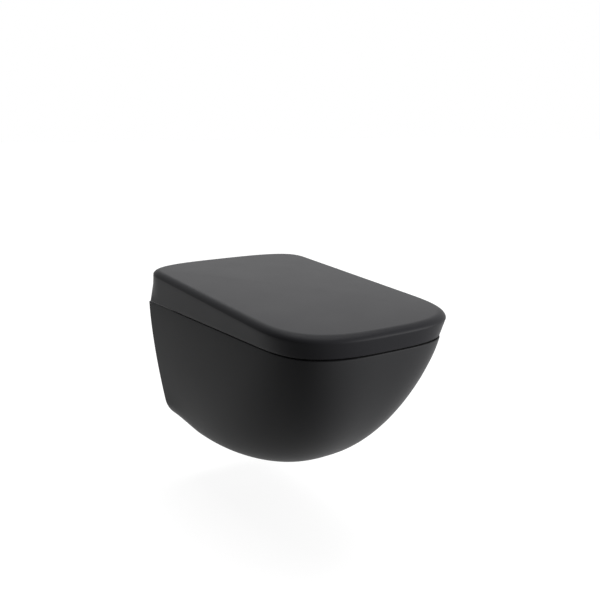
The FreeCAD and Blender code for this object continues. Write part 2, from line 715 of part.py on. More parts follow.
def damper(side):
    """Rotary damper's body with its anti-turn rib, open for the shaft."""
    d0, d1 = damper_span(side)
    end_gap = 0.2
    body = rod(DAMPER_RADIUS, d1 - d0 - end_gap, place(d0 + (end_gap if side > 0 else 0),
                                                       HINGE_BACK, HINGE_RISE), ACROSS)
    rib = box(d0 + end_gap, d1 - end_gap, HINGE_BACK - 1.5, HINGE_BACK + 1.5, HINGE_RISE,
              HINGE_RISE + DAMPER_RADIUS + 1.4)
    body = body.fuse(rib)
    depth = 16.0
    mouth = d1 + 1 if side > 0 else d0 - 1
    start = place(mouth, HINGE_BACK, HINGE_RISE)
    return body.cut(rod(SHAFT_RADIUS + RUNNING_GAP, depth + 1, start, V(-side, 0, 0)))


def damper_shaft(side, keyed_place):
    """Shaft from a damper through both knuckles, with flats in the knuckle that it turns with."""
    d0, d1 = damper_span(side)
    mouth = d1 if side > 0 else -d0
    inner_end = mouth - 15.5
    outer_end = max(abs(end) for end in knuckle_span(side, 1)) - 0.5
    start = place(side * inner_end, HINGE_BACK, HINGE_RISE)
    shaft = rod(SHAFT_RADIUS, outer_end - inner_end, start, V(side, 0, 0))
    k0, k1 = knuckle_span(side, keyed_place)
    key = keyed_bar(SHAFT_RADIUS, SHAFT_FLATS, k1 - k0 + 1)
    key.translate(place(0.5 * (k0 + k1), HINGE_BACK, HINGE_RISE))
    keyed_zone = box(k0 - 0.5, k1 + 0.5, HINGE_BACK - 6, HINGE_BACK + 6, HINGE_RISE - 6,
                     HINGE_RISE + 6)
    return shaft.cut(keyed_zone).fuse(key).removeSplitter()


def hinge_bush(side, place_out):
    """Plastic bush that a shaft turns in."""
    k0, k1 = knuckle_span(side, place_out)
    start = place(k0, HINGE_BACK, HINGE_RISE)
    sleeve = rod(BUSH_RADIUS, k1 - k0, start, ACROSS)
    return sleeve.cut(rod(SHAFT_RADIUS + RUNNING_GAP, k1 - k0, start, ACROSS))


def hinge_post(side):
    """Steel post that stands on the rosette, with a groove for the clip and a hexagon socket."""
    x = side * 0.5 * HINGE_HOLE_SPACING
    foot = GASKET_THICKNESS + ROSETTE_THICKNESS
    groove_top = GROOVE_BOTTOM + GROOVE_HEIGHT
    profile = [(0, foot), (8, foot), (8, foot + 1.6), (POST_RADIUS, foot + 1.6),
               (POST_RADIUS, GROOVE_BOTTOM), (GROOVE_RADIUS, GROOVE_BOTTOM),
               (GROOVE_RADIUS, groove_top), (POST_RADIUS, groove_top),
               (POST_RADIUS, POST_TOP - 2), (POST_RADIUS - 1.6, POST_TOP), (0, POST_TOP)]
    post = turned(profile, x, HINGE_BACK)
    socket = hexagon(2.3, x, HINGE_BACK, POST_TOP - 5, 6)
    thread = rod(STUD_RADIUS + 0.03, 9, place(x, HINGE_BACK, foot - 1), UP)
    return post.cut([socket, thread])


def on_both_sides(make):
    return Part.makeCompound([make(side) for side in SIDES.values()])


def rosette(side):
    """Round steel plate between a post and the glaze."""
    x = side * 0.5 * HINGE_HOLE_SPACING
    low = GASKET_THICKNESS
    top = low + ROSETTE_THICKNESS
    profile = [(0, low), (ROSETTE_RADIUS, low), (ROSETTE_RADIUS, top - 1.2),
               (ROSETTE_RADIUS - 1.2, top), (0, top)]
    plate = turned(profile, x, HINGE_BACK)
    return plate.cut(rod(STUD_RADIUS + 0.2, 10, place(x, HINGE_BACK, -2), UP))


def rosette_gasket(side):
    x = side * 0.5 * HINGE_HOLE_SPACING
    start = place(x, HINGE_BACK, 0)
    return rod(ROSETTE_RADIUS - 0.8, GASKET_THICKNESS, start, UP).cut(
        rod(STUD_RADIUS + 0.2, GASKET_THICKNESS, start, UP))


def fixing_stud(side):
    """Threaded rod from the cone nut up into the post."""
    x = side * 0.5 * HINGE_HOLE_SPACING
    top = GASKET_THICKNESS + ROSETTE_THICKNESS + 7
    return rod(STUD_RADIUS, top + PLUG_LENGTH, place(x, HINGE_BACK, -PLUG_LENGTH), UP)


def rubber_plug(side):
    """Rubber sleeve in the pan's hole, spread under the deck by the cone nut."""
    x = side * 0.5 * HINGE_HOLE_SPACING
    hole = FIXING_HOLE_RADIUS - 0.05
    profile = [(STUD_RADIUS + 0.1, 0), (hole, 0), (hole, -DECK_THICKNESS), (10.5, -DECK_THICKNESS - 3),
               (10.5, -DECK_THICKNESS - 12), (9.0, -PLUG_LENGTH + 4), (7.6, -PLUG_LENGTH + 4),
               (STUD_RADIUS + 0.1, -DECK_THICKNESS - 8)]
    return turned(profile, x, HINGE_BACK)


def cone_nut(side):
    """Brass nut with a tapered end, drawn up into the rubber plug."""
    x = side * 0.5 * HINGE_HOLE_SPACING
    bore = STUD_RADIUS + 0.03
    profile = [(bore, -DECK_THICKNESS - 8.5), (7.4, -PLUG_LENGTH + 4.2), (7.4, -PLUG_LENGTH),
               (bore, -PLUG_LENGTH)]
    return turned(profile, x, HINGE_BACK)


# ---------------------------------------------------------------- wall brackets
def bracket_span(side):
    ends = sorted((side * BRACKET_INNER, side * BRACKET_OUTER))
    return ends[0], ends[1]


def wall_bracket(side):
    """Steel angle that a wall stud clamps to the wall; the pan's ledge stands on its arm."""
    x0, x1 = bracket_span(side)
    stud_x = side * 0.5 * STUD_SPACING
    low = -RIM_ABOVE_STUDS - BRACKET_BOTTOM
    flange = box(x0, x1, 0, BRACKET_THICKNESS, low, -RIM_ABOVE_STUDS + BRACKET_TOP)
    arm = box(x0, x1, 0, BRACKET_REACH, low, low + BRACKET_THICKNESS)
    gusset = [(BRACKET_THICKNESS - 1, low + BRACKET_THICKNESS - 1),
              (WEB_THICKNESS, low + BRACKET_THICKNESS - 1),
              (BRACKET_THICKNESS - 1, low + BRACKET_THICKNESS + 10)]
    gusset_width = 4.0
    angle = flange.fuse([arm, prism(gusset, x0, x0 + gusset_width),
                         prism(gusset, x1 - gusset_width, x1)])
    through = BRACKET_THICKNESS + 2
    cuts = [rod(BRACKET_HOLE_RADIUS, through, place(stud_x, -1, -RIM_ABOVE_STUDS), OUT),
            rod(SCREW_RADIUS + 0.5, through, place(side * SCREW_X, SCREW_BACK, low - 1), UP)]
    return angle.cut(cuts).removeSplitter()


def bracket_sleeve(side):
    """Plastic sleeve with a flange in the ledge's hole, between the ceramic and the screw."""
    x = side * SCREW_X
    low = -RIM_ABOVE_STUDS - BRACKET_BOTTOM + BRACKET_THICKNESS
    top = low + LEDGE_THICKNESS
    bore = SCREW_RADIUS + 0.1
    body = LEDGE_HOLE_RADIUS - 0.1
    profile = [(bore, low + 0.2), (body, low + 0.2), (body, top), (14, top), (14, top + 2.5),
               (bore, top + 2.5)]
    return turned(profile, x, SCREW_BACK)


def bracket_screw(side):
    """Screw put in from below through the bracket's arm, the ledge and its nut."""
    x = side * SCREW_X
    low = -RIM_ABOVE_STUDS - BRACKET_BOTTOM
    head = 5.0
    shank_top = low + BRACKET_THICKNESS + LEDGE_THICKNESS + 13
    profile = [(0, low - head), (6.5, low - head), (6.5, low), (SCREW_RADIUS, low),
               (SCREW_RADIUS, shank_top - 1), (SCREW_RADIUS - 1, shank_top), (0, shank_top)]
    return turned(profile, x, SCREW_BACK).cut(hexagon(3.4, x, SCREW_BACK, low - head - 1, 4.5))


def bracket_nut(side):
    """Hexagon nut on top of the sleeve."""
    x = side * SCREW_X
    low = -RIM_ABOVE_STUDS - BRACKET_BOTTOM + BRACKET_THICKNESS + LEDGE_THICKNESS + 2.5
    nut = hexagon(7.5, x, SCREW_BACK, low, 6.5)
    return nut.cut(rod(SCREW_RADIUS, 10, place(x, SCREW_BACK, low - 1), UP))


# ---------------------------------------------------------------- all the parts
def all_parts():
    left = SIDES["left"]
    right = SIDES["right"]
    parts = {
        "ceramic_pan": ceramic_pan(),
        "inlet_seal": inlet_seal(),
        "lid_shell": lid_shell(),
        "lid_buffers": lid_buffers(),
        "seat_ring": seat_ring(),
        "seat_buffers": seat_buffers(),
        "lid_damper": damper(left),
        "seat_damper": damper(right),
        "lid_damper_shaft": damper_shaft(left, 1),
        "seat_damper_shaft": damper_shaft(right, 0),
        "seat_bush": hinge_bush(left, 0),
        "lid_bush": hinge_bush(right, 1),
        "bracket_nuts": on_both_sides(bracket_nut),
        "bracket_screws": on_both_sides(bracket_screw),
        "fixing_studs": on_both_sides(fixing_stud),
        "cone_nuts": on_both_sides(cone_nut),
        "rubber_plugs": on_both_sides(rubber_plug),
    }
    for name, side in SIDES.items():
        parts["hinge_block_" + name] = hinge_block(side)
        parts["hinge_post_" + name] = hinge_post(side)
        parts["hinge_rosette_" + name] = rosette(side)
        parts["rosette_gasket_" + name] = rosette_gasket(side)
        parts["release_button_" + name] = release_button(side)
        parts["retaining_clip_" + name] = retaining_clip(side)
        parts["wall_bracket_" + name] = wall_bracket(side)
        parts["bracket_sleeve_" + name] = bracket_sleeve(side)
    return parts


def build():
    os.makedirs("parts", exist_ok=True)
    for name, shape in all_parts().items():
        shape.exportStep("parts/" + name + ".step")
        print(name, round(shape.Volume / 1000, 2), "cm3", len(shape.Solids), "solids",
              shape.isValid())


build()
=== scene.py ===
# %% [markdown]
# # A wall hung toilet in a dark satin finish
#
# The construction is a fixed frame that this script loads: every piece already has its real size and
# place in it. What follows gives the pieces their looks. The ceramic pan, the lid and the seat are the
# large smooth forms that the eye rests on, so they are modelled again here as even, quad based surfaces.
# The small pieces keep the frame's own shapes, with smoothed normals and finishes of their own.

# %% Load the frame
import json
import math

import bmesh
import bpy
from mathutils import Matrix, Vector

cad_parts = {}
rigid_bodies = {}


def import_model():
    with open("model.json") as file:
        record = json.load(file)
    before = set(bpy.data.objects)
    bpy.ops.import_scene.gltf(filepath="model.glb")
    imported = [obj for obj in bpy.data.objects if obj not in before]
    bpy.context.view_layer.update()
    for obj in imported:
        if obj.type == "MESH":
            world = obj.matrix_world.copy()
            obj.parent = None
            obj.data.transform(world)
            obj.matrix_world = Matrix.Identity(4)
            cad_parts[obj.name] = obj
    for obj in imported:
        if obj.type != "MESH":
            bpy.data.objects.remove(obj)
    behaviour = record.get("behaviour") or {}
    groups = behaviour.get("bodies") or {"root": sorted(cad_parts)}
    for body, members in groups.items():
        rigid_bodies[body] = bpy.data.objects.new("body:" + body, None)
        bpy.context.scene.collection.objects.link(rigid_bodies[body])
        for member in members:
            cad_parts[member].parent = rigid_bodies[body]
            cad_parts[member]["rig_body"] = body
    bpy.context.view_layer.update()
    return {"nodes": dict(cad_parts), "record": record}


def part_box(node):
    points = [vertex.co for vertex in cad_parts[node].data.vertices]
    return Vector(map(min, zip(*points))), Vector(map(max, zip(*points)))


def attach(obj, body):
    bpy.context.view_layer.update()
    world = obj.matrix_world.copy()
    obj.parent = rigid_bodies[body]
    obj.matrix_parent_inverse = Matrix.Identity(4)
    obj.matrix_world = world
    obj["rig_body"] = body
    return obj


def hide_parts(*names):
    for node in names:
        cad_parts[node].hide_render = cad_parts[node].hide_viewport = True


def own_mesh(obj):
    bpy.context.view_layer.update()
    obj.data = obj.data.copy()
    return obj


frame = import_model()

# %% [markdown]
# ## Measures
#
# Sanitary ware is drawn in millimetres and Blender works in metres, so each measure below is written
# in millimetres and one factor turns it into metres. "Out" is the distance out of the wall, "rise" is
# the height over the pan's rim and "depth" is the distance below it. The origin is midway between the
# two wall studs, and the rim lies 80 mm above them. The measures here are the ones that several pieces
# share; each piece's own measures stand with the piece.

# %% Units, and the measures that pieces share
MM = 0.001
RIM_ABOVE_STUDS = 80.0
QUARTER_TURN = 0.5 * math.pi

# -1 is the left side and 1 the right, for somebody who faces the wall.
SIDES = (-1, 1)

HINGE_BACK = 50.0
HINGE_RISE = 46.0
KNUCKLE_RADIUS = 10.0
SHAFT_BORE_RADIUS = 4.03
BUSH_BORE_RADIUS = 6.02
SEAT_TOP = 24.0
OVAL_POWER = 2.3


def place(x, out, rise):
    """A point of the frame from its millimetre measures."""
    return Vector((x, -out, RIM_ABOVE_STUDS + rise)) * MM


def blend(start, end, share):
    """The value that lies a share of the way from start to end."""
    return start + (end - start) * share


print("hinge line at", [round(value, 4) for value in place(0, HINGE_BACK, HINGE_RISE)])

# %% [markdown]
# ## Outlines
#
# Seen from above, a pan, a seat and a lid are ovals that are a little squarer than an ellipse. A curve
# object could be drawn for each, but a superellipse needs only its width, its length and one power that
# says how square it is. Outlines are drawn as many points and then stepped off at even distances,
# because even quads give even reflections on a smooth surface.

# %% Outline helpers
def superellipse(half_width, length, power, steps=90):
    """Quarter outline from its tip (0, length) to its side (half_width, 0)."""
    points = []
    for step in range(steps + 1):
        angle = QUARTER_TURN * step / steps
        points.append((half_width * math.sin(angle) ** (2 / power),
                       length * max(math.cos(angle), 0.0) ** (2 / power)))
    return points


def evenly(points, count):
    """The same polyline with count + 1 points at even distances."""
    lengths = [0.0]
    for (x0, y0), (x1, y1) in zip(points, points[1:]):
        lengths.append(lengths[-1] + math.hypot(x1 - x0, y1 - y0))
    spaced = []
    index = 0
    for step in range(count + 1):
        target = lengths[-1] * step / count
        while index < len(lengths) - 2 and lengths[index + 1] < target:
            index += 1
        span = lengths[index + 1] - lengths[index]
        share = (target - lengths[index]) / span if span > 0 else 0.0
        spaced.append((blend(points[index][0], points[index + 1][0], share),
                       blend(points[index][1], points[index + 1][1], share)))
    return spaced


def mirrored_ring(half):
    """Closed ring from a half outline that starts and ends on the centre line."""
    return half + [(-across, out) for across, out in reversed(half[1:-1])]


def oval_ring(half_width, half_length, steps):
    """Closed oval round its own middle, with a number of steps in each quarter."""
    quarter = evenly(superellipse(half_width, half_length, OVAL_POWER), steps)
    half = quarter + [(across, -along) for across, along in reversed(quarter[:-1])]
    return mirrored_ring(half)


# %% [markdown]
# ## Lofting: one ring of vertices after another
#
# A toilet is a loft: level outlines that change from rim to foot. The first ring is a bmesh circle that
# is moved onto its outline. Its edges are extruded, each new ring is moved onto the next outline, and a
# last face closes the end. Every ring has as many points as the first, so the sides are all quads.

# %% A piece from a bmesh, and the loft
WELD_DISTANCE = 1e-6


def new_piece(name, bm):
    """Object from a bmesh, with its faces turned outwards."""
    bmesh.ops.remove_doubles(bm, verts=bm.verts, dist=WELD_DISTANCE)
    bmesh.ops.recalc_face_normals(bm, faces=bm.faces)
    mesh = bpy.data.meshes.new(name)
    bm.to_mesh(mesh)
    bm.free()
    piece = bpy.data.objects.new(name, mesh)
    bpy.context.scene.collection.objects.link(piece)
    return piece


def loft(name, rings):
    """Closed solid through rings of points; the first and the last ring are capped."""
    bm = bmesh.new()
    circle = bmesh.ops.create_circle(bm, cap_ends=True, radius=1.0, segments=len(rings[0]))
    order = {vert: index for index, vert in enumerate(circle["verts"])}
    for vert, index in order.items():
        vert.co = rings[0][index]
    edges = list(bm.edges)
    for ring in rings[1:]:
        grown = bmesh.ops.extrude_edge_only(bm, edges=edges)["geom"]
        following = {}
        for vert in grown:
            if isinstance(vert, bmesh.types.BMVert):
                below = [edge.other_vert(vert) for edge in vert.link_edges]
                following[vert] = next(order[other] for other in below if other in order)
                vert.co = ring[following[vert]]
        edges = [edge for edge in grown if isinstance(edge, bmesh.types.BMEdge)
                 and all(vert in following for vert in edge.verts)]
        order = following
    bmesh.ops.holes_fill(bm, edges=edges, sides=0)
    return new_piece(name, bm)


# %% [markdown]
# ## Plain solids that cut or fill
#
# Windows, bores, bosses and ears are blocks, round bars and flat shapes pushed out to a thickness. Each
# is one bmesh operator that is scaled, turned and moved into place. Where one cuts, it reaches a few
# millimetres past the surface, because two faces in the same plane make an unsure cut.

# %% Blocks, round bars and prisms
def box_solid(name, x0, x1, out0, out1, rise0, rise1):
    """A plain block between its limits."""
    bm = bmesh.new()
    bmesh.ops.create_cube(bm, size=1.0)
    low = place(min(x0, x1), out1, rise0)
    high = place(max(x0, x1), out0, rise1)
    bmesh.ops.scale(bm, vec=high - low, verts=bm.verts)
    bmesh.ops.translate(bm, vec=0.5 * (low + high), verts=bm.verts)
    return new_piece(name, bm)


def rod_solid(name, radius, start, end, end_radius=None, segments=48):
    """A round bar or cone between two points of the frame, with its radii in millimetres."""
    bm = bmesh.new()
    along = end - start
    bmesh.ops.create_cone(bm, cap_ends=True, segments=segments, radius1=radius * MM,
                          radius2=(end_radius or radius) * MM, depth=along.length)
    turn = Vector((0, 0, 1)).rotation_difference(along.normalized()).to_matrix()
    bmesh.ops.rotate(bm, matrix=turn, verts=bm.verts)
    bmesh.ops.translate(bm, vec=0.5 * (start + end), verts=bm.verts)
    return new_piece(name, bm)


def level_rod(name, radius, rise, start_out, end_out, end_radius=None):
    """A bar that runs out of the wall on the centre line."""
    return rod_solid(name, radius, place(0, start_out, rise), place(0, end_out, rise), end_radius)


def upright_rod(name, radius, x, out, start_rise, end_rise):
    """A bar that stands upright."""
    return rod_solid(name, radius, place(x, out, start_rise), place(x, out, end_rise))


def hinge_rod(name, radius, x0, x1, segments=48):
    """A bar on the hinge line."""
    return rod_solid(name, radius, place(x0, HINGE_BACK, HINGE_RISE),
                     place(x1, HINGE_BACK, HINGE_RISE), segments=segments)


def prism_solid(name, corners, x0, x1):
    """A polygon of (out, rise) corners, pushed out along X."""
    bm = bmesh.new()
    face = bm.faces.new([bm.verts.new(place(min(x0, x1), out, rise)) for out, rise in corners])
    grown = bmesh.ops.extrude_face_region(bm, geom=[face])["geom"]
    moved = [item for item in grown if isinstance(item, bmesh.types.BMVert)]
    bmesh.ops.translate(bm, vec=Vector((abs(x1 - x0) * MM, 0, 0)), verts=moved)
    return new_piece(name, bm)


# %% [markdown]
# ## Combining, shading and measuring
#
# A Boolean modifier cuts one solid with another, and its result is kept at once as a plain mesh. The
# normals are then smoothed up to an angle, past which an edge stays sharp, and weighted by face size,
# so that a large flat face isn't shaded as if it were bent.

# %% Combine, smooth and report
SHARP_ANGLE = 32.0
NORMAL_WEIGHT = 60


def combine(piece, tools, operation):
    """Add or take away one tool at a time; the tools are used up."""
    for tool in tools:
        step = piece.modifiers.new("combine", "BOOLEAN")
        step.operation = operation
        step.solver = "MANIFOLD"
        step.object = tool
        shown = piece.evaluated_get(bpy.context.evaluated_depsgraph_get())
        result = bpy.data.meshes.new_from_object(shown)
        piece.modifiers.remove(step)
        piece.data = result
        bpy.data.objects.remove(tool)


def smooth(piece, angle=SHARP_ANGLE):
    """Smooth shading that keeps edges sharper than the angle, with flat faces staying flat."""
    piece.data.polygons.foreach_set("use_smooth", [True] * len(piece.data.polygons))
    piece.data.set_sharp_from_angle(angle=math.radians(angle))
    weighted = piece.modifiers.new("even normals", "WEIGHTED_NORMAL")
    weighted.keep_sharp = True
    weighted.weight = NORMAL_WEIGHT


def report(piece):
    """Print a piece's size and its number of faces."""
    size = [round(side / MM, 1) for side in piece.dimensions]
    print(piece.name, "size in mm", size, "faces", len(piece.data.polygons))


# %% [markdown]
# ## The ceramic pan
#
# Vitreous china is cast as one hollow body about 11 mm thick: an outer shell, a bowl hung in it, and a
# waterway that rises behind the bowl and drops to the outlet. Blocking it out from a scaled sphere
# would never give the flat back or the straight rim, so the body is lofted from its level outlines:
# straight sides that flare towards the wall and a front that is a squared-off superellipse high up and
# a rounder one lower down. The inner spaces are lofts and tubes too, taken away from the body.

# %% Measures of the pan
PAN_DEPTH = 276.0
RIM_HALF_WIDTH = 164.3
RIM_FRONT = 571.0
RIM_SIDE_END = 390.0
RIM_CORNER_POWER = 3.8
RIM_ROUNDING = 1.6
BASE_HALF_WIDTH = 93.0
BASE_FRONT = 261.0
BASE_SIDE_END = 96.0
BASE_CORNER_POWER = 2.4
PROFILE_POWER = 1.42
SIDE_POWER = 2.3
PROW_POWER = 2.15

# The plate is the edge on the wall that the sides flare out to.
PLATE_EDGE = 10.0
PLATE_HEIGHT = 270.5
PLATE_TAPER = 38.0
PLATE_TAPER_POWER = 1.55
PLATE_CORNER = 49.5
FLARE_LENGTH = 94.5
FLARE_POWER = 1.82

SHELL_WALL = 11.0
DECK_THICKNESS = 15.0
WEB_THICKNESS = 14.0

# %% Outlines of the pan
PAN_SIDE_POINTS = 60
PAN_HALF_STEPS = 64
PAN_BACK_STEPS = 14


def plate_half_width(depth):
    """Half width of the pan's edge on the wall."""
    width = RIM_HALF_WIDTH - PLATE_TAPER * (depth / PLATE_HEIGHT) ** PLATE_TAPER_POWER
    into_corner = (depth - (PLATE_HEIGHT - PLATE_CORNER)) / PLATE_CORNER
    if into_corner <= 0:
        return width
    return width - PLATE_CORNER * (1 - math.sqrt(max(0.0, 1 - min(into_corner, 1.0) ** 2)))


def pan_ring(share, bottom, inset=0.0, back=0.0):
    """Level outline of the pan at a share of its depth, as points of the frame."""
    shrink = 1 - share ** PROFILE_POWER
    half_width = blend(BASE_HALF_WIDTH, RIM_HALF_WIDTH, shrink ** (1 / SIDE_POWER)) - inset
    front = blend(BASE_FRONT, RIM_FRONT, shrink ** (1 / PROW_POWER)) - inset
    side_end = blend(RIM_SIDE_END, BASE_SIDE_END, share)
    power = blend(RIM_CORNER_POWER, BASE_CORNER_POWER, share)
    plate = plate_half_width(share * PAN_DEPTH) - inset
    half = [(across, side_end + along)
            for across, along in superellipse(half_width, front - side_end, power)]
    for step in range(1, PAN_SIDE_POINTS + 1):
        out = blend(side_end, back, step / PAN_SIDE_POINTS)
        flare = min(max(1 - (out - PLATE_EDGE) / FLARE_LENGTH, 0.0), 1.0) ** FLARE_POWER
        half.append((half_width + (plate - half_width) * flare, out))
    half = evenly(half, PAN_HALF_STEPS)
    corner = half[-1][0]
    half += [(corner * (1 - step / PAN_BACK_STEPS), back) for step in range(1, PAN_BACK_STEPS + 1)]
    return [place(across, out, -share * bottom) for across, out in mirrored_ring(half)]


def pan_rings(bottom, inset, back, top_depth, steps):
    """Rings from the top down, closer together where the form curves most."""
    rings = []
    start = math.asin(min(1.0, (top_depth / bottom) ** (0.5 * PROFILE_POWER)))
    for step in range(steps + 1):
        angle = blend(start, QUARTER_TURN, step / steps)
        rings.append(pan_ring(min(math.sin(angle) ** (2 / PROFILE_POWER), 1.0), bottom, inset, back))
    return rings


# %% Body of the pan, with a rounded rim
RIM_ROUNDING_STEPS = 4
PAN_RING_STEPS = 46

rim_rings = []
for step in range(RIM_ROUNDING_STEPS):
    angle = QUARTER_TURN * step / RIM_ROUNDING_STEPS
    drawn_in = RIM_ROUNDING * (1 - math.sin(angle))
    share = RIM_ROUNDING * (1 - math.cos(angle)) / PAN_DEPTH
    rim_rings.append(pan_ring(share, PAN_DEPTH, drawn_in))
pan = loft("pan_glazed_body", rim_rings + pan_rings(PAN_DEPTH, inset=0.0, back=0.0,
                                                    top_depth=RIM_ROUNDING, steps=PAN_RING_STEPS))
report(pan)

# %% [markdown]
# ### The bowl
#
# The bowl is an oval funnel with a small rounded lip at the rim. It could be a squashed sphere, but a
# real one is steep at the back and slopes down from the front, so it is lofted through ovals whose
# middle moves towards the wall as they get deeper. The same ovals, 10 mm larger all round and 10 mm
# lower where the bowl is deep, are its outside.

# %% Space of the bowl, and its outside
BOWL_STATIONS = (
    # depth, half width, half length, centre out of the wall
    (-6, 124, 173, 380),
    (0, 120, 169, 380),
    (1.5, 115, 164, 380),
    (5, 112, 161, 380),
    (10, 111, 160, 380),
    (40, 108, 157, 379),
    (80, 102, 147, 374),
    (120, 91, 127, 360),
    (155, 75, 98, 336),
    (185, 55, 66, 308),
    (210, 38, 41, 288),
    (228, 28, 29, 282),
)
BOWL_LIP_STATIONS = 4
BOWL_STEPS = 24
BOWL_RINGS_BETWEEN = 4
BOWL_WALL = 10.0
BOWL_UPRIGHT_DEPTH = 40


def bowl_ring(depth, half_width, half_length, centre):
    """Level outline of the bowl, as points of the frame."""
    return [place(across, centre + along, -depth)
            for across, along in oval_ring(half_width, half_length, BOWL_STEPS)]


def between_stations(stations, steps):
    """More stations, with a smooth curve through the given ones."""
    finer = []
    for index in range(len(stations) - 1):
        before = stations[max(index - 1, 0)]
        first, second = stations[index], stations[index + 1]
        after = stations[min(index + 2, len(stations) - 1)]
        for step in range(steps):
            t = step / steps
            finer.append([0.5 * (2 * b + (c - a) * t + (2 * a - 5 * b + 4 * c - d) * t ** 2
                                 + (3 * b - a - 3 * c + d) * t ** 3)
                          for a, b, c, d in zip(before, first, second, after)])
    return finer + [list(stations[-1])]


lip = BOWL_STATIONS[:BOWL_LIP_STATIONS + 1]
funnel = BOWL_STATIONS[BOWL_LIP_STATIONS:]
space_stations = list(lip) + between_stations(funnel, BOWL_RINGS_BETWEEN)[1:]
bowl_space = loft("bowl_space", [bowl_ring(*station) for station in space_stations])
skin_rings = []
for depth, half_width, half_length, centre in funnel:
    lowered = BOWL_WALL if depth > BOWL_UPRIGHT_DEPTH else 0
    skin_rings.append(bowl_ring(depth + lowered, half_width + BOWL_WALL, half_length + BOWL_WALL, centre))
bowl_skin = loft("bowl_skin", skin_rings)
report(bowl_space)

# %% [markdown]
# ### The waterway
#
# The trap holds the water that keeps drain air out: from the bottom of the bowl it climbs over a weir
# and drops to the outlet. A tube with round bends is easiest as a curve with a round bevel, which is
# turned into a mesh so that it can cut. The outlet widens to the pipe that plugs in from the wall.

# %% The waterway behind the bowl
TRAP_RADIUS = 28.0
TRAP_WALL = 9.0
OUTLET_RADIUS = 45.0
SPIGOT_RADIUS = 51.0
OUTLET_RISE = -180.0
OUTLET_CONE_START = 62.0
OUTLET_CONE_END = 36.0
INLET_RISE = -45.0
INLET_RADIUS = 27.5
SUMP_RISE = -217.0
WEIR_RISE = -112.0
WATERWAY = (
    # out of the wall, rise over the rim
    (300, SUMP_RISE),
    (212, SUMP_RISE),
    (188, WEIR_RISE),
    (128, WEIR_RISE),
    (104, OUTLET_RISE),
    (58, OUTLET_RISE),
)


def waterway_tube(name, radius):
    """Round tube through the waterway's bends, made from a curve with round corners."""
    curve = bpy.data.curves.new(name, "CURVE")
    curve.dimensions = "3D"
    curve.bevel_depth = radius * MM
    curve.bevel_resolution = 8
    curve.use_fill_caps = True
    curve.resolution_u = 10
    spline = curve.splines.new("NURBS")
    spline.points.add(len(WATERWAY) - 1)
    for point, (out, rise) in zip(spline.points, WATERWAY):
        point.co = (*place(0, out, rise), 1.0)
    spline.order_u = 3
    spline.use_endpoint_u = True
    source = bpy.data.objects.new(name, curve)
    mesh = bpy.data.meshes.new_from_object(source)
    bpy.data.objects.remove(source)
    bm = bmesh.new()
    bm.from_mesh(mesh)
    return new_piece(name, bm)


def outlet_solids(radius, wide):
    """The cone that widens towards the wall, and the round mouth behind it."""
    return [level_rod("outlet_cone", radius, OUTLET_RISE, OUTLET_CONE_START, OUTLET_CONE_END, wide),
            level_rod("outlet_mouth", wide, OUTLET_RISE, OUTLET_CONE_END + 1, -4)]


# %% The hollow between the shell, the bowl and the waterway
HOLLOW_RING_STEPS = 22
INLET_SKIN_END = 232.0
LEDGE_RISE = -116.0
LEDGE_THICKNESS = 12.0
LEDGE_HALF_WIDTH = 170.0
LEDGE_OUT = 66.0

hollow = loft("pan_hollow", pan_rings(PAN_DEPTH - SHELL_WALL, inset=SHELL_WALL, back=WEB_THICKNESS,
                                      top_depth=DECK_THICKNESS, steps=HOLLOW_RING_STEPS))
kept_solid = [bowl_skin, waterway_tube("trap_skin", TRAP_RADIUS + TRAP_WALL)]
kept_solid += outlet_solids(TRAP_RADIUS + TRAP_WALL, SPIGOT_RADIUS)
kept_solid.append(level_rod("inlet_skin", INLET_RADIUS + TRAP_WALL, INLET_RISE, -2, INLET_SKIN_END))
kept_solid.append(box_solid("ledge", -LEDGE_HALF_WIDTH, LEDGE_HALF_WIDTH, 0, LEDGE_OUT, LEDGE_RISE,
                            LEDGE_RISE + LEDGE_THICKNESS))
combine(hollow, kept_solid, "DIFFERENCE")
report(hollow)

# %% Hollow the body and open it
FIXING_X = 77.5
FIXING_HOLE_RADIUS = 8.0
FIXING_HOLE_DEPTH = 30.0
LEDGE_HOLE_RADIUS = 9.0
LEDGE_HOLE_BELOW = 6.0
LEDGE_HOLE_ABOVE = 34.0
ACCESS_HOLE_RADIUS = 9.0
ACCESS_HOLE_DEPTH = 160.0
INLET_SPACE_END = 239.0
BRACKET_WINDOW_GAP = 3.0
BRACKET_WINDOW_BELOW = 2.0
BRACKET_WINDOW_ABOVE = 5.0

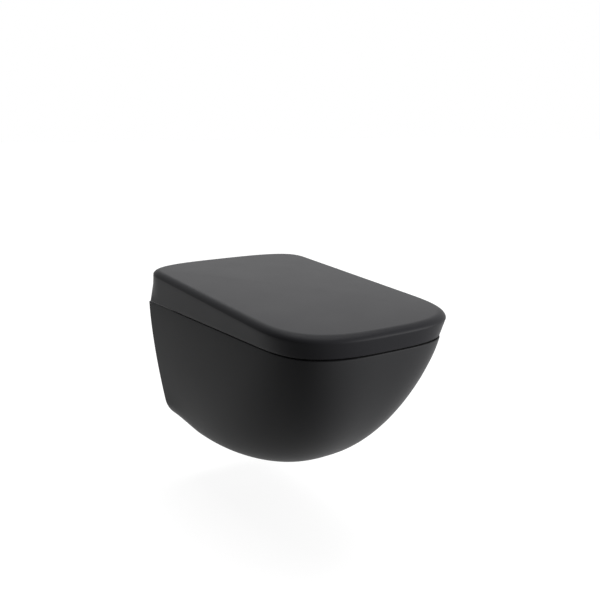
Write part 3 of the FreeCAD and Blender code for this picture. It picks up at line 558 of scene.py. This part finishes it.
openings = [hollow, bowl_space, waterway_tube("trap_space", TRAP_RADIUS)]
openings += outlet_solids(TRAP_RADIUS, OUTLET_RADIUS)
openings.append(level_rod("inlet_space", INLET_RADIUS, INLET_RISE, -3, INLET_SPACE_END))
for side in SIDES:
    low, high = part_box("wall_bracket_right" if side > 0 else "wall_bracket_left")
    openings.append(box_solid("bracket_window", low.x / MM - BRACKET_WINDOW_GAP,
                              high.x / MM + BRACKET_WINDOW_GAP, -3, WEB_THICKNESS + 1,
                              low.z / MM - RIM_ABOVE_STUDS - BRACKET_WINDOW_BELOW,
                              high.z / MM - RIM_ABOVE_STUDS + BRACKET_WINDOW_ABOVE))
    low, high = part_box("bracket_sleeve_right" if side > 0 else "bracket_sleeve_left")
    screw_x = 0.5 * (low.x + high.x) / MM
    screw_out = -0.5 * (low.y + high.y) / MM
    openings.append(upright_rod("ledge_hole", LEDGE_HOLE_RADIUS, screw_x, screw_out,
                                LEDGE_RISE - LEDGE_HOLE_BELOW, LEDGE_RISE + LEDGE_HOLE_ABOVE))
    openings.append(upright_rod("screw_access", ACCESS_HOLE_RADIUS, screw_x, screw_out, -PAN_DEPTH - 6,
                                -PAN_DEPTH + ACCESS_HOLE_DEPTH))
    openings.append(upright_rod("fixing_hole", FIXING_HOLE_RADIUS, side * FIXING_X, HINGE_BACK, 2,
                                -FIXING_HOLE_DEPTH))
combine(pan, openings, "DIFFERENCE")
smooth(pan)
report(pan)
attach(pan, "root")
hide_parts("ceramic_pan")

# %% [markdown]
# ## The lid
#
# A wrap-over lid is a shallow moulded box turned upside down: skirts that flare a little, a soft
# rounded edge, and a top that is crowned by a few millimetres so that water runs off and reflections
# bend. The same rings run from the skirt's foot over the edge to the middle of the top, so the
# highlight along the edge stays unbroken. The hollow is the same loft, drawn in by the wall.

# %% Measures of the lid
LID_GAP = 3.0
LID_BOTTOM = {"half_width": 168.0, "front": 573.0, "back": 5.5, "back_side_end": 30.0,
              "back_power": 10.0}
LID_TOP = {"half_width": 180.0, "front": 577.0, "back": 7.0, "back_side_end": 86.0,
           "back_power": 3.25}
LID_SIDE_END = 416.0
LID_CORNER_POWER = 3.2
LID_FRONT_RISE = 28.0
LID_BACK_RISE = 66.5
LID_FOOT_ROUNDING = 0.8
LID_EDGE_WIDTH = 16.0
LID_EDGE_RISE = 11.0
LID_CROWN = 4.0
LID_WALL = 4.5

# %% Outlines of the lid
LID_HALF_STEPS = 84
SKIRT_STEPS = 6
EDGE_STEPS = 12
CROWN_STEPS = 14


def lid_outline(level, inset):
    """Even points round the lid for the measures of one level, as (across, out)."""
    half_width = level["half_width"] - inset
    front = level["front"] - inset
    back = level["back"] + inset
    front_corner = superellipse(half_width, front - LID_SIDE_END, LID_CORNER_POWER)
    back_corner = superellipse(half_width, level["back_side_end"] - back, level["back_power"])
    half = [(across, LID_SIDE_END + along) for across, along in front_corner]
    half += [(across, level["back_side_end"] - along) for across, along in reversed(back_corner)]
    return mirrored_ring(evenly(half, LID_HALF_STEPS))


def lid_slope(out):
    """Rise of the skirt's upper end, which falls from the wall to the front."""
    share = (out - LID_TOP["back"]) / (LID_TOP["front"] - LID_TOP["back"])
    return blend(LID_BACK_RISE, LID_FRONT_RISE, share)


def lid_rings(inset, foot_rise, edge_width, edge_rise, foot_rounding):
    """Rings from the foot of the skirt, over the rounded edge, to the middle of the top."""
    foot = lid_outline(LID_BOTTOM, inset)
    brow = lid_outline(LID_TOP, inset)
    rings = []
    if foot_rounding:
        foot_drawn = lid_outline(LID_BOTTOM, inset + foot_rounding)
        rings.append([place(x, out, foot_rise) for x, out in foot_drawn])
    first_rise = foot_rise + foot_rounding
    for step in range(SKIRT_STEPS):
        share = step / SKIRT_STEPS
        rings.append([place(blend(x0, x1, share), blend(out0, out1, share),
                            blend(first_rise, lid_slope(out1), share))
                      for (x0, out0), (x1, out1) in zip(foot, brow)])
    for step in range(EDGE_STEPS + 1):
        angle = QUARTER_TURN * step / EDGE_STEPS
        outline = lid_outline(LID_TOP, inset + edge_width * (1 - math.cos(angle)))
        lift = edge_rise * math.sin(angle)
        rings.append([place(x, out, lid_slope(out) + lift) for x, out in outline])
    middle = 0.5 * (LID_TOP["front"] + LID_TOP["back"])
    rim = lid_outline(LID_TOP, inset + edge_width)
    for step in range(1, CROWN_STEPS):
        share = 1 - step / CROWN_STEPS
        lift = edge_rise + LID_CROWN * (1 - share * share)
        ring = [(x * share, middle + (out - middle) * share) for x, out in rim]
        rings.append([place(x, out, lid_slope(out) + lift) for x, out in ring])
    return rings


# %% Lid moulding and its hollow, which leaves the hinge ears and the buffer bosses standing
KNUCKLE_SPANS = {"seat": (94.2, 108.2), "lid": (109.4, 123.4)}
EAR_REACH = 26.0
EAR_TOP = 90.0
LID_BUFFERS = [(side * 126, out) for side in SIDES for out in (470, 250)]
LID_BUFFER_HEIGHT = 4.0
BOSS_RADIUS = 9.0
BOSS_TOP = 100.0

lid = loft("lid_moulding", lid_rings(0.0, LID_GAP, LID_EDGE_WIDTH, LID_EDGE_RISE, LID_FOOT_ROUNDING))
lid_space = loft("lid_space", lid_rings(LID_WALL, LID_GAP - 1, LID_EDGE_WIDTH - 2,
                                        LID_EDGE_RISE - LID_WALL, 0.0))
ear_shape = [(HINGE_BACK - KNUCKLE_RADIUS, HINGE_RISE), (HINGE_BACK + KNUCKLE_RADIUS, HINGE_RISE),
             (HINGE_BACK + EAR_REACH, EAR_TOP), (HINGE_BACK - KNUCKLE_RADIUS, EAR_TOP)]
fillings = []
for side in SIDES:
    near, far = (side * edge for edge in KNUCKLE_SPANS["lid"])
    fillings.append(prism_solid("ear_web", ear_shape, near, far))
    fillings.append(hinge_rod("ear_knuckle", KNUCKLE_RADIUS, near, far))
for x, out in LID_BUFFERS:
    fillings.append(upright_rod("buffer_boss", BOSS_RADIUS, x, out, SEAT_TOP + LID_BUFFER_HEIGHT,
                                BOSS_TOP))
combine(lid_space, fillings, "DIFFERENCE")

# %% [markdown]
# ### Room to swing
#
# Whatever lies behind and below the hinge line swings down as the lid opens, and would meet the pan. A
# slanted cut would be simpler, but it would take away more than it has to. So the cutter is a block with
# a round bar taken out of it, whose circle on the hinge line passes just over the rim: what lies inside
# the circle stays. The back is opened too, for the hinge blocks.

# %% Cut the lid free of the pan and the hinges
CUT_PAST = 20.0
SKIRT_PASSES_PAN = 165.2
SWING_RADIUS = 44.6
SWING_HALF_LENGTH = 200.0
SWING_SEGMENTS = 128
KNUCKLE_CLEARANCE = 1.5
REAR_WALL_INSIDE = HINGE_BACK - KNUCKLE_RADIUS - KNUCKLE_CLEARANCE
REAR_OPENING_HALF_WIDTH = 159.0
REAR_OPENING_TOP = HINGE_RISE - 3
HINGE_WINDOW = (57.0, 129.0)
HINGE_WINDOW_BOTTOM = HINGE_RISE - 4
HINGE_WINDOW_TOP = HINGE_RISE + 20.5

behind = box_solid("behind_hinges", -SKIRT_PASSES_PAN, SKIRT_PASSES_PAN, -CUT_PAST, HINGE_BACK,
                   -CUT_PAST, HINGE_RISE)
combine(behind, [hinge_rod("swing", SWING_RADIUS, -SWING_HALF_LENGTH, SWING_HALF_LENGTH,
                           SWING_SEGMENTS)], "DIFFERENCE")
lid_cuts = [lid_space, behind]
lid_cuts.append(box_solid("rear_opening", -REAR_OPENING_HALF_WIDTH, REAR_OPENING_HALF_WIDTH, -CUT_PAST,
                          REAR_WALL_INSIDE, -CUT_PAST, REAR_OPENING_TOP))
for side in SIDES:
    window_near, window_far = (side * edge for edge in HINGE_WINDOW)
    lid_cuts.append(box_solid("hinge_window", window_near, window_far, -CUT_PAST, REAR_WALL_INSIDE,
                              HINGE_WINDOW_BOTTOM, HINGE_WINDOW_TOP))
    near, far = (side * edge for edge in KNUCKLE_SPANS["lid"])
    bore_radius = BUSH_BORE_RADIUS if side > 0 else SHAFT_BORE_RADIUS
    lid_cuts.append(hinge_rod("ear_bore", bore_radius, near - side, far + side))
combine(lid, lid_cuts, "DIFFERENCE")
smooth(lid)
report(lid)
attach(lid, "lid")
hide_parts("lid_shell")

# %% [markdown]
# ## The seat
#
# The seat is a thick ring with rolled upper edges, flat underneath, and two arms that rise to the
# hinge line. Its outline is a loft like the others; the opening is a second loft whose rings widen
# towards the top, which gives the comfortable rolled inner edge.

# %% Measures of the seat
SEAT_BOTTOM = 6.0
SEAT_HALF_WIDTH = 156.0
SEAT_FRONT = 563.0
SEAT_BACK = 72.0
SEAT_SIDE_END = 410.0
SEAT_CORNER_POWER = 3.2
SEAT_REAR_RADIUS = 18.0
SEAT_ROLL = 7.0
OPENING_HALF_WIDTH = 103.0
OPENING_HALF_LENGTH = 152.0
OPENING_CENTRE = 362.0
OPENING_ROLL = 1.6
OPENING_CUT_PAST = 4.0

# How far each of the lowest rings is drawn in or widened, and its height over the underside.
SEAT_FOOT = ((2.0, 0.0), (0.6, 0.6), (0.0, 2.0), (0.0, 6.0))
OPENING_FOOT = ((2.6, -1.0), (2.0, 0.0), (0.0, 3.0))

# %% Outlines of the seat and its opening
SEAT_HALF_STEPS = 70
SEAT_CORNER_STEPS = 30
SEAT_BACK_STEPS = 12
OPENING_STEPS = 30
ROLL_STEPS = 8


def seat_outline(inset, rise):
    """Ring round the seat, as points of the frame."""
    half_width = SEAT_HALF_WIDTH - inset
    front_corner = superellipse(half_width, SEAT_FRONT - inset - SEAT_SIDE_END, SEAT_CORNER_POWER)
    half = [(across, SEAT_SIDE_END + along) for across, along in front_corner]
    last = SEAT_BACK + inset + SEAT_REAR_RADIUS
    for step in range(SEAT_CORNER_STEPS + 1):
        angle = QUARTER_TURN * step / SEAT_CORNER_STEPS
        half.append((half_width - SEAT_REAR_RADIUS * (1 - math.cos(angle)),
                     last - SEAT_REAR_RADIUS * math.sin(angle)))
    half = evenly(half, SEAT_HALF_STEPS)
    corner = half[-1][0]
    half += [(corner * (1 - step / SEAT_BACK_STEPS), SEAT_BACK + inset)
             for step in range(1, SEAT_BACK_STEPS + 1)]
    return [place(across, out, rise) for across, out in mirrored_ring(half)]


def opening_outline(grow, rise):
    """Ring round the opening, as points of the frame."""
    oval = oval_ring(OPENING_HALF_WIDTH + grow, OPENING_HALF_LENGTH + grow, OPENING_STEPS)
    return [place(across, OPENING_CENTRE + along, rise) for across, along in oval]


# %% Seat ring with its rolled edges
seat_rings = [seat_outline(inset, SEAT_BOTTOM + height) for inset, height in SEAT_FOOT]
opening_rings = [opening_outline(grow, SEAT_BOTTOM + height) for grow, height in OPENING_FOOT]
for step in range(ROLL_STEPS + 1):
    angle = QUARTER_TURN * step / ROLL_STEPS
    drawn_in = SEAT_ROLL * (1 - math.cos(angle))
    rise = SEAT_TOP - SEAT_ROLL * (1 - math.sin(angle))
    seat_rings.append(seat_outline(drawn_in, rise))
    opening_rings.append(opening_outline(OPENING_ROLL * drawn_in, rise))
opening_rings.append(opening_outline(OPENING_ROLL * SEAT_ROLL, SEAT_TOP + OPENING_CUT_PAST))
seat = loft("seat_moulding", seat_rings)
combine(seat, [loft("seat_opening", opening_rings)], "DIFFERENCE")
report(seat)

# %% Arms that carry the seat's knuckles
arm_shape = [(SEAT_BACK + 34, SEAT_BOTTOM + 2), (SEAT_BACK + 46, SEAT_TOP - 1),
             (HINGE_BACK + 20, HINGE_RISE + 5), (HINGE_BACK + 3, HINGE_RISE + KNUCKLE_RADIUS - 0.5),
             (HINGE_BACK - KNUCKLE_RADIUS + 1, HINGE_RISE),
             (HINGE_BACK + 2, HINGE_RISE - KNUCKLE_RADIUS + 0.5), (SEAT_BACK + 4, SEAT_BOTTOM + 2)]
for side in SIDES:
    near, far = (side * edge for edge in KNUCKLE_SPANS["seat"])
    combine(seat, [prism_solid("arm", arm_shape, near, far),
                   hinge_rod("arm_knuckle", KNUCKLE_RADIUS, near, far)], "UNION")
    bore_radius = BUSH_BORE_RADIUS if side < 0 else SHAFT_BORE_RADIUS
    combine(seat, [hinge_rod("arm_bore", bore_radius, near - side, far + side)], "DIFFERENCE")
smooth(seat)
report(seat)
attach(seat, "seat")
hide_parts("seat_ring")

# %% [markdown]
# ## Materials
#
# No real surface is one flat colour or quite even: a glaze pools a little, and a moulding has a fine
# grain. A picture could be laid over each piece, but it would show its edges and its pixels close up.
# Here both effects are noise on Object coordinates, and one node group lets every material use them
# with its own values: broad patches vary the colour and the roughness, and a finer noise gives the
# relief.

# %% Node helpers
FLOAT = "NodeSocketFloat"
COLOUR = "NodeSocketColor"
VECTOR = "NodeSocketVector"
MIDDLE_GREY = (0.5, 0.5, 0.5, 1)


def new_group(name, inputs, outputs):
    """Shader node group with named sockets, and its input and output nodes."""
    group = bpy.data.node_groups.new(name, "ShaderNodeTree")
    for label, kind, value in inputs:
        socket = group.interface.new_socket(label, in_out="INPUT", socket_type=kind)
        socket.default_value = value
    for label, kind in outputs:
        group.interface.new_socket(label, in_out="OUTPUT", socket_type=kind)
    start = group.nodes.new("NodeGroupInput")
    end = group.nodes.new("NodeGroupOutput")
    return group, start, end


def math_node(tree, operation, first, second):
    """Result of a Math node, whose two values are numbers or sockets."""
    node = tree.nodes.new("ShaderNodeMath")
    node.operation = operation
    for socket, value in zip(node.inputs, (first, second)):
        if isinstance(value, (int, float)):
            socket.default_value = value
        else:
            tree.links.new(value, socket)
    return node.outputs["Value"]


def noise_node(tree, scale, detail, roughness):
    """Noise on Object coordinates, with its scale from a socket."""
    coordinates = tree.nodes.new("ShaderNodeTexCoord")
    noise = tree.nodes.new("ShaderNodeTexNoise")
    tree.links.new(scale, noise.inputs["Scale"])
    noise.inputs["Detail"].default_value = detail
    noise.inputs["Roughness"].default_value = roughness
    tree.links.new(coordinates.outputs["Object"], noise.inputs["Vector"])
    return noise.outputs["Fac"]


# %% Group: an uneven finish, in colour, roughness and fine relief
finish_group, finish_in, finish_out = new_group(
    "uneven finish",
    [("Colour", COLOUR, MIDDLE_GREY), ("Second colour", COLOUR, MIDDLE_GREY),
     ("Patch scale", FLOAT, 30.0), ("Roughness", FLOAT, 0.4), ("Roughness spread", FLOAT, 0.05),
     ("Relief scale", FLOAT, 900.0), ("Relief", FLOAT, 0.05), ("Relief depth", FLOAT, 0.0002)],
    [("Colour", COLOUR), ("Roughness", FLOAT), ("Normal", VECTOR)])
link = finish_group.links.new
patches = noise_node(finish_group, finish_in.outputs["Patch scale"], detail=4.0, roughness=0.6)
mix = finish_group.nodes.new("ShaderNodeMix")
mix.data_type = "RGBA"
link(patches, mix.inputs["Factor"])
link(finish_in.outputs["Colour"], mix.inputs["A"])
link(finish_in.outputs["Second colour"], mix.inputs["B"])
link(mix.outputs["Result"], finish_out.inputs["Colour"])

centred = math_node(finish_group, "SUBTRACT", patches, 0.5)
spread = math_node(finish_group, "MULTIPLY", centred, finish_in.outputs["Roughness spread"])
uneven = math_node(finish_group, "ADD", finish_in.outputs["Roughness"], spread)
link(uneven, finish_out.inputs["Roughness"])

fine = noise_node(finish_group, finish_in.outputs["Relief scale"], detail=3.0, roughness=0.55)
bump = finish_group.nodes.new("ShaderNodeBump")
link(finish_in.outputs["Relief"], bump.inputs["Strength"])
link(finish_in.outputs["Relief depth"], bump.inputs["Distance"])
link(fine, bump.inputs["Height"])
link(bump.outputs["Normal"], finish_out.inputs["Normal"])
print("sockets of the finish group:", [socket.name for socket in finish_in.outputs if socket.name])


# %% A material from the group
def finish(name, colour, second, roughness, spread, patch_scale, relief_scale, relief, depth,
           metallic=0.0, specular=0.5):
    """Material with an uneven finish; colours are linear."""
    material = bpy.data.materials.new(name)
    material.use_nodes = True
    tree = material.node_tree
    shader = tree.nodes["Principled BSDF"]
    shader.inputs["Metallic"].default_value = metallic
    shader.inputs["Specular IOR Level"].default_value = specular
    node = tree.nodes.new("ShaderNodeGroup")
    node.node_tree = finish_group
    values = {"Colour": (*colour, 1), "Second colour": (*second, 1), "Patch scale": patch_scale,
              "Roughness": roughness, "Roughness spread": spread, "Relief scale": relief_scale,
              "Relief": relief, "Relief depth": depth}
    for label, value in values.items():
        node.inputs[label].default_value = value
    tree.links.new(node.outputs["Colour"], shader.inputs["Base Color"])
    tree.links.new(node.outputs["Roughness"], shader.inputs["Roughness"])
    tree.links.new(node.outputs["Normal"], shader.inputs["Normal"])
    return material


# %% [markdown]
# ### Glaze and duroplast
#
# The photographed object is one dark grey throughout, satin on the ceramic and on the moulded lid.
# What separates the two is small: a glaze has a broad, almost invisible orange peel, and duroplast a
# much finer grain. Both have a low specular level. A higher one would be nearer to a real glaze, but
# the white surroundings would then wash out the dark sides.

# %% Finishes of the large forms
FINISHES = {}
FINISHES["glaze"] = finish(
    "dark satin glaze", (0.028, 0.0282, 0.0295), (0.032, 0.032, 0.0335), roughness=0.42, spread=0.06,
    patch_scale=9.0, relief_scale=55.0, relief=0.10, depth=0.0006, specular=0.04)
FINISHES["duroplast"] = finish(
    "dark satin duroplast", (0.016, 0.016, 0.0178), (0.0185, 0.0185, 0.0205), roughness=0.40,
    spread=0.06, patch_scale=14.0, relief_scale=900.0, relief=0.12, depth=0.0001, specular=0.045)

# %% [markdown]
# ### Rubber, metal and plastic
#
# Rubber is nearly black and dull. Stainless steel and brass are the smoothest metals here, and zinc
# plating is duller, with broader patches. The hinge blocks have the grain of a spark textured mould, the
# dampers and bushes are grey acetal, and the hidden sleeves are pale nylon. All of them use the same
# group with their own values, so a new finish is one call and no new nodes have to be laid out.

# %% Finishes of the small pieces
FINISHES["buffer_rubber"] = finish(
    "buffer rubber", (0.02, 0.02, 0.021), (0.03, 0.03, 0.031), roughness=0.72, spread=0.1,
    patch_scale=60.0, relief_scale=1500.0, relief=0.3, depth=0.0002)
FINISHES["sealing_rubber"] = finish(
    "sealing rubber", (0.012, 0.012, 0.012), (0.02, 0.02, 0.02), roughness=0.6, spread=0.1,
    patch_scale=60.0, relief_scale=1200.0, relief=0.3, depth=0.0002)
FINISHES["stainless_steel"] = finish(
    "turned stainless steel", (0.55, 0.55, 0.56), (0.63, 0.63, 0.64), roughness=0.28, spread=0.12,
    patch_scale=120.0, relief_scale=2500.0, relief=0.2, depth=0.0001, metallic=1.0)
FINISHES["zinc_steel"] = finish(
    "zinc plated steel", (0.46, 0.48, 0.50), (0.58, 0.58, 0.56), roughness=0.38, spread=0.15,
    patch_scale=70.0, relief_scale=700.0, relief=0.25, depth=0.0002, metallic=1.0)
FINISHES["brass"] = finish(
    "turned brass", (0.60, 0.43, 0.17), (0.66, 0.50, 0.24), roughness=0.3, spread=0.1,
    patch_scale=90.0, relief_scale=2000.0, relief=0.2, depth=0.0001, metallic=1.0)
FINISHES["hinge_plastic"] = finish(
    "spark textured plastic", (0.028, 0.028, 0.03), (0.034, 0.034, 0.036), roughness=0.55, spread=0.08,
    patch_scale=40.0, relief_scale=2200.0, relief=0.5, depth=0.0002)
FINISHES["damper_plastic"] = finish(
    "moulded acetal", (0.16, 0.16, 0.165), (0.19, 0.19, 0.195), roughness=0.45, spread=0.08,
    patch_scale=50.0, relief_scale=1500.0, relief=0.2, depth=0.0001)
FINISHES["button_plastic"] = finish(
    "button plastic", (0.09, 0.09, 0.095), (0.11, 0.11, 0.115), roughness=0.42, spread=0.08,
    patch_scale=50.0, relief_scale=1800.0, relief=0.3, depth=0.0001)
FINISHES["sleeve_plastic"] = finish(
    "moulded nylon", (0.52, 0.51, 0.47), (0.58, 0.57, 0.53), roughness=0.5, spread=0.08,
    patch_scale=50.0, relief_scale=1200.0, relief=0.2, depth=0.0001)
print("finishes:", ", ".join(FINISHES))


# %% Dress the pan, the lid and the seat
def dress(piece, slot):
    """Give a piece the finish of its slot, and no other."""
    piece.data.materials.clear()
    piece.data.materials.append(FINISHES[slot])


dress(pan, "glaze")
dress(lid, "duroplast")
dress(seat, "duroplast")

# %% [markdown]
# ## The small pieces
#
# Posts, rosettes, dampers, shafts, buffers, brackets and fasteners have their true shapes in the frame
# already, but as loose triangles with flat shading. Each gets a merged copy, smooth shaded up to its real
# edges, that stands for it and takes its finish from the record's material slot. The copies of the wire
# clips get a mesh of their own; each clip is 19 mm deep, and its button has 3 mm of travel.

# %% Merged copies with their finishes
SMALL_PIECE_ANGLE = 28.0
CLIP_BUTTONS = {"retaining_clip_left": "button_left", "retaining_clip_right": "button_right"}
remade = {"ceramic_pan", "lid_shell", "seat_ring"}
slots = {part["node"]: part["material_slot"] for part in frame["record"]["subparts"]}
for node, slot in slots.items():
    if node in remade:
        continue
    bm = bmesh.new()
    bm.from_mesh(frame["nodes"][node].data)
    copy = new_piece(node + "_finished", bm)
    smooth(copy, SMALL_PIECE_ANGLE)
    dress(copy, slot)
    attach(copy, frame["nodes"][node]["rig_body"])
    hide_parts(node)
    if node in CLIP_BUTTONS:
        low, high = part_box(node)
        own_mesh(copy)
print("small pieces:", len(slots) - len(remade))

# %% [markdown]
# ## Floor and world
#
# A wall hung pan is shown at its mounting height over a pale floor. Floor and world look white where
# they are seen, in reflections too, and light the object only a little. A bright world alone would be
# simpler, but it lights every side alike and the form goes flat. The floor's own glow is weaker near
# the object, where the lamps light it, and the object's shadow stays there.

# %% Floor
FLOOR_BELOW_RIM = 400.0
FLOOR_REACH = 30.0
FLOOR_GREY = 0.25

bm = bmesh.new()
bmesh.ops.create_grid(bm, x_segments=1, y_segments=1, size=FLOOR_REACH)
bmesh.ops.translate(bm, vec=place(0, 0, -FLOOR_BELOW_RIM), verts=bm.verts)
floor = new_piece("floor", bm)
floor_material = bpy.data.materials.new("pale floor")
floor_material.use_nodes = True
tree = floor_material.node_tree
shader = tree.nodes["Principled BSDF"]
shader.inputs["Base Color"].default_value = (FLOOR_GREY, FLOOR_GREY, FLOOR_GREY, 1)
shader.inputs["Roughness"].default_value = 0.9
shader.inputs["Specular IOR Level"].default_value = 0.1
print("floor at", round(floor.data.vertices[0].co.z, 3), "m, sides", list(floor.dimensions)[:2])

# %% The floor's glow
GLOW_NEAR = 0.84
GLOW_FAR = 0.975
GLOW_PER_METRE = 0.05


def seen_directly(tree):
    """1 for a ray from the camera, a reflection or glass, and 0 for diffuse light."""
    paths = tree.nodes.new("ShaderNodeLightPath")
    reflected = paths.outputs["Is Glossy Ray"]
    through_glass = paths.outputs["Is Transmission Ray"]
    indirect = math_node(tree, "MAXIMUM", reflected, through_glass)
    return math_node(tree, "MAXIMUM", paths.outputs["Is Camera Ray"], indirect)


where = tree.nodes.new("ShaderNodeTexCoord")
distance = tree.nodes.new("ShaderNodeVectorMath")
distance.operation = "LENGTH"
tree.links.new(where.outputs["Object"], distance.inputs[0])
gain = math_node(tree, "MULTIPLY", distance.outputs["Value"], GLOW_PER_METRE)
rising = math_node(tree, "ADD", gain, GLOW_NEAR)
limited = math_node(tree, "MINIMUM", rising, GLOW_FAR)
glow = tree.nodes.new("ShaderNodeEmission")
tree.links.new(math_node(tree, "MULTIPLY", seen_directly(tree), limited), glow.inputs["Strength"])
both = tree.nodes.new("ShaderNodeAddShader")
tree.links.new(shader.outputs["BSDF"], both.inputs[0])
tree.links.new(glow.outputs["Emission"], both.inputs[1])
tree.links.new(both.outputs["Shader"], tree.nodes["Material Output"].inputs["Surface"])
floor.data.materials.append(floor_material)
print("the glow is full from", round((GLOW_FAR - GLOW_NEAR) / GLOW_PER_METRE, 2), "m outwards")

# %% World: white where it is seen, weak plain light elsewhere
WORLD_LIGHT = 0.10

world = bpy.data.worlds.new("studio")
bpy.context.scene.world = world
world.use_nodes = True
tree = world.node_tree
background = tree.nodes["Background"]
background.inputs["Color"].default_value = (1, 1, 1, 1)
extra = math_node(tree, "MULTIPLY", seen_directly(tree), 1.0 - WORLD_LIGHT)
tree.links.new(math_node(tree, "ADD", extra, WORLD_LIGHT), background.inputs["Strength"])
print("the world lights the object at", WORLD_LIGHT)

# %% [markdown]
# ## Lamps and camera
#
# Three soft lamps give the form its light: one overhead, one in front to the right, so that the left
# side stays darker, and a weak one behind, whose reflection brings out the lid's top. Large rectangles
# are chosen because a satin surface shows the shape of what lights it. The camera's angles, distance
# and focal length were fitted, together with the shape, to the outline in the photograph.

# %% Lamps
OBJECT_MIDDLE = place(0, 290, -60)


def soft_lamp(name, centre, width, height, power):
    """Rectangular lamp that faces the object; metres and watts."""
    data = bpy.data.lights.new(name, "AREA")
    data.shape = "RECTANGLE"
    data.size = width
    data.size_y = height
    data.energy = power
    lamp = bpy.data.objects.new(name, data)
    lamp.location = centre
    lamp.rotation_euler = (OBJECT_MIDDLE - Vector(centre)).to_track_quat("-Z", "Y").to_euler()
    bpy.context.scene.collection.objects.link(lamp)
    print(name, "lamp:", power, "W")


soft_lamp("overhead", (0.3, -0.1, 2.4), width=2.4, height=2.0, power=60)
soft_lamp("front_right", (1.5, -2.3, 0.35), width=1.8, height=1.2, power=76)
soft_lamp("behind", (1.4, 1.66, 1.42), width=2.0, height=0.8, power=8)

# %% Camera, at the photographed viewing angle
VIEW_AZIMUTH = -34.52
VIEW_PITCH = 12.53
FOCAL_PIXELS = 795.2
FRAME_PIXELS = 600.0
SENSOR_MM = 36.0
DISTANCE = 1.55016
AIM = place(0, 260, -100)
AIM_PIXEL = (284.91, 364.48)

azimuth = math.radians(VIEW_AZIMUTH)
pitch = math.radians(VIEW_PITCH)
forward = Vector((-math.sin(azimuth) * math.cos(pitch), math.cos(azimuth) * math.cos(pitch),
                  -math.sin(pitch)))
rightward = Vector((math.cos(azimuth), math.sin(azimuth), 0))
upward = rightward.cross(forward)
middle = 0.5 * FRAME_PIXELS
camera_data = bpy.data.cameras.new("camera")
camera_data.sensor_width = SENSOR_MM
camera_data.lens = FOCAL_PIXELS * SENSOR_MM / FRAME_PIXELS
camera = bpy.data.objects.new("camera", camera_data)
camera.location = (AIM - DISTANCE * forward
                   - rightward * (AIM_PIXEL[0] - middle) * DISTANCE / FOCAL_PIXELS
                   - upward * (middle - AIM_PIXEL[1]) * DISTANCE / FOCAL_PIXELS)
camera.rotation_euler = (QUARTER_TURN - pitch, 0, azimuth)
bpy.context.scene.collection.objects.link(camera)
bpy.context.scene.camera = camera
bpy.context.scene.view_settings.view_transform = "Standard"
print("camera at", [round(value, 3) for value in camera.location], "lens", round(camera_data.lens, 2))
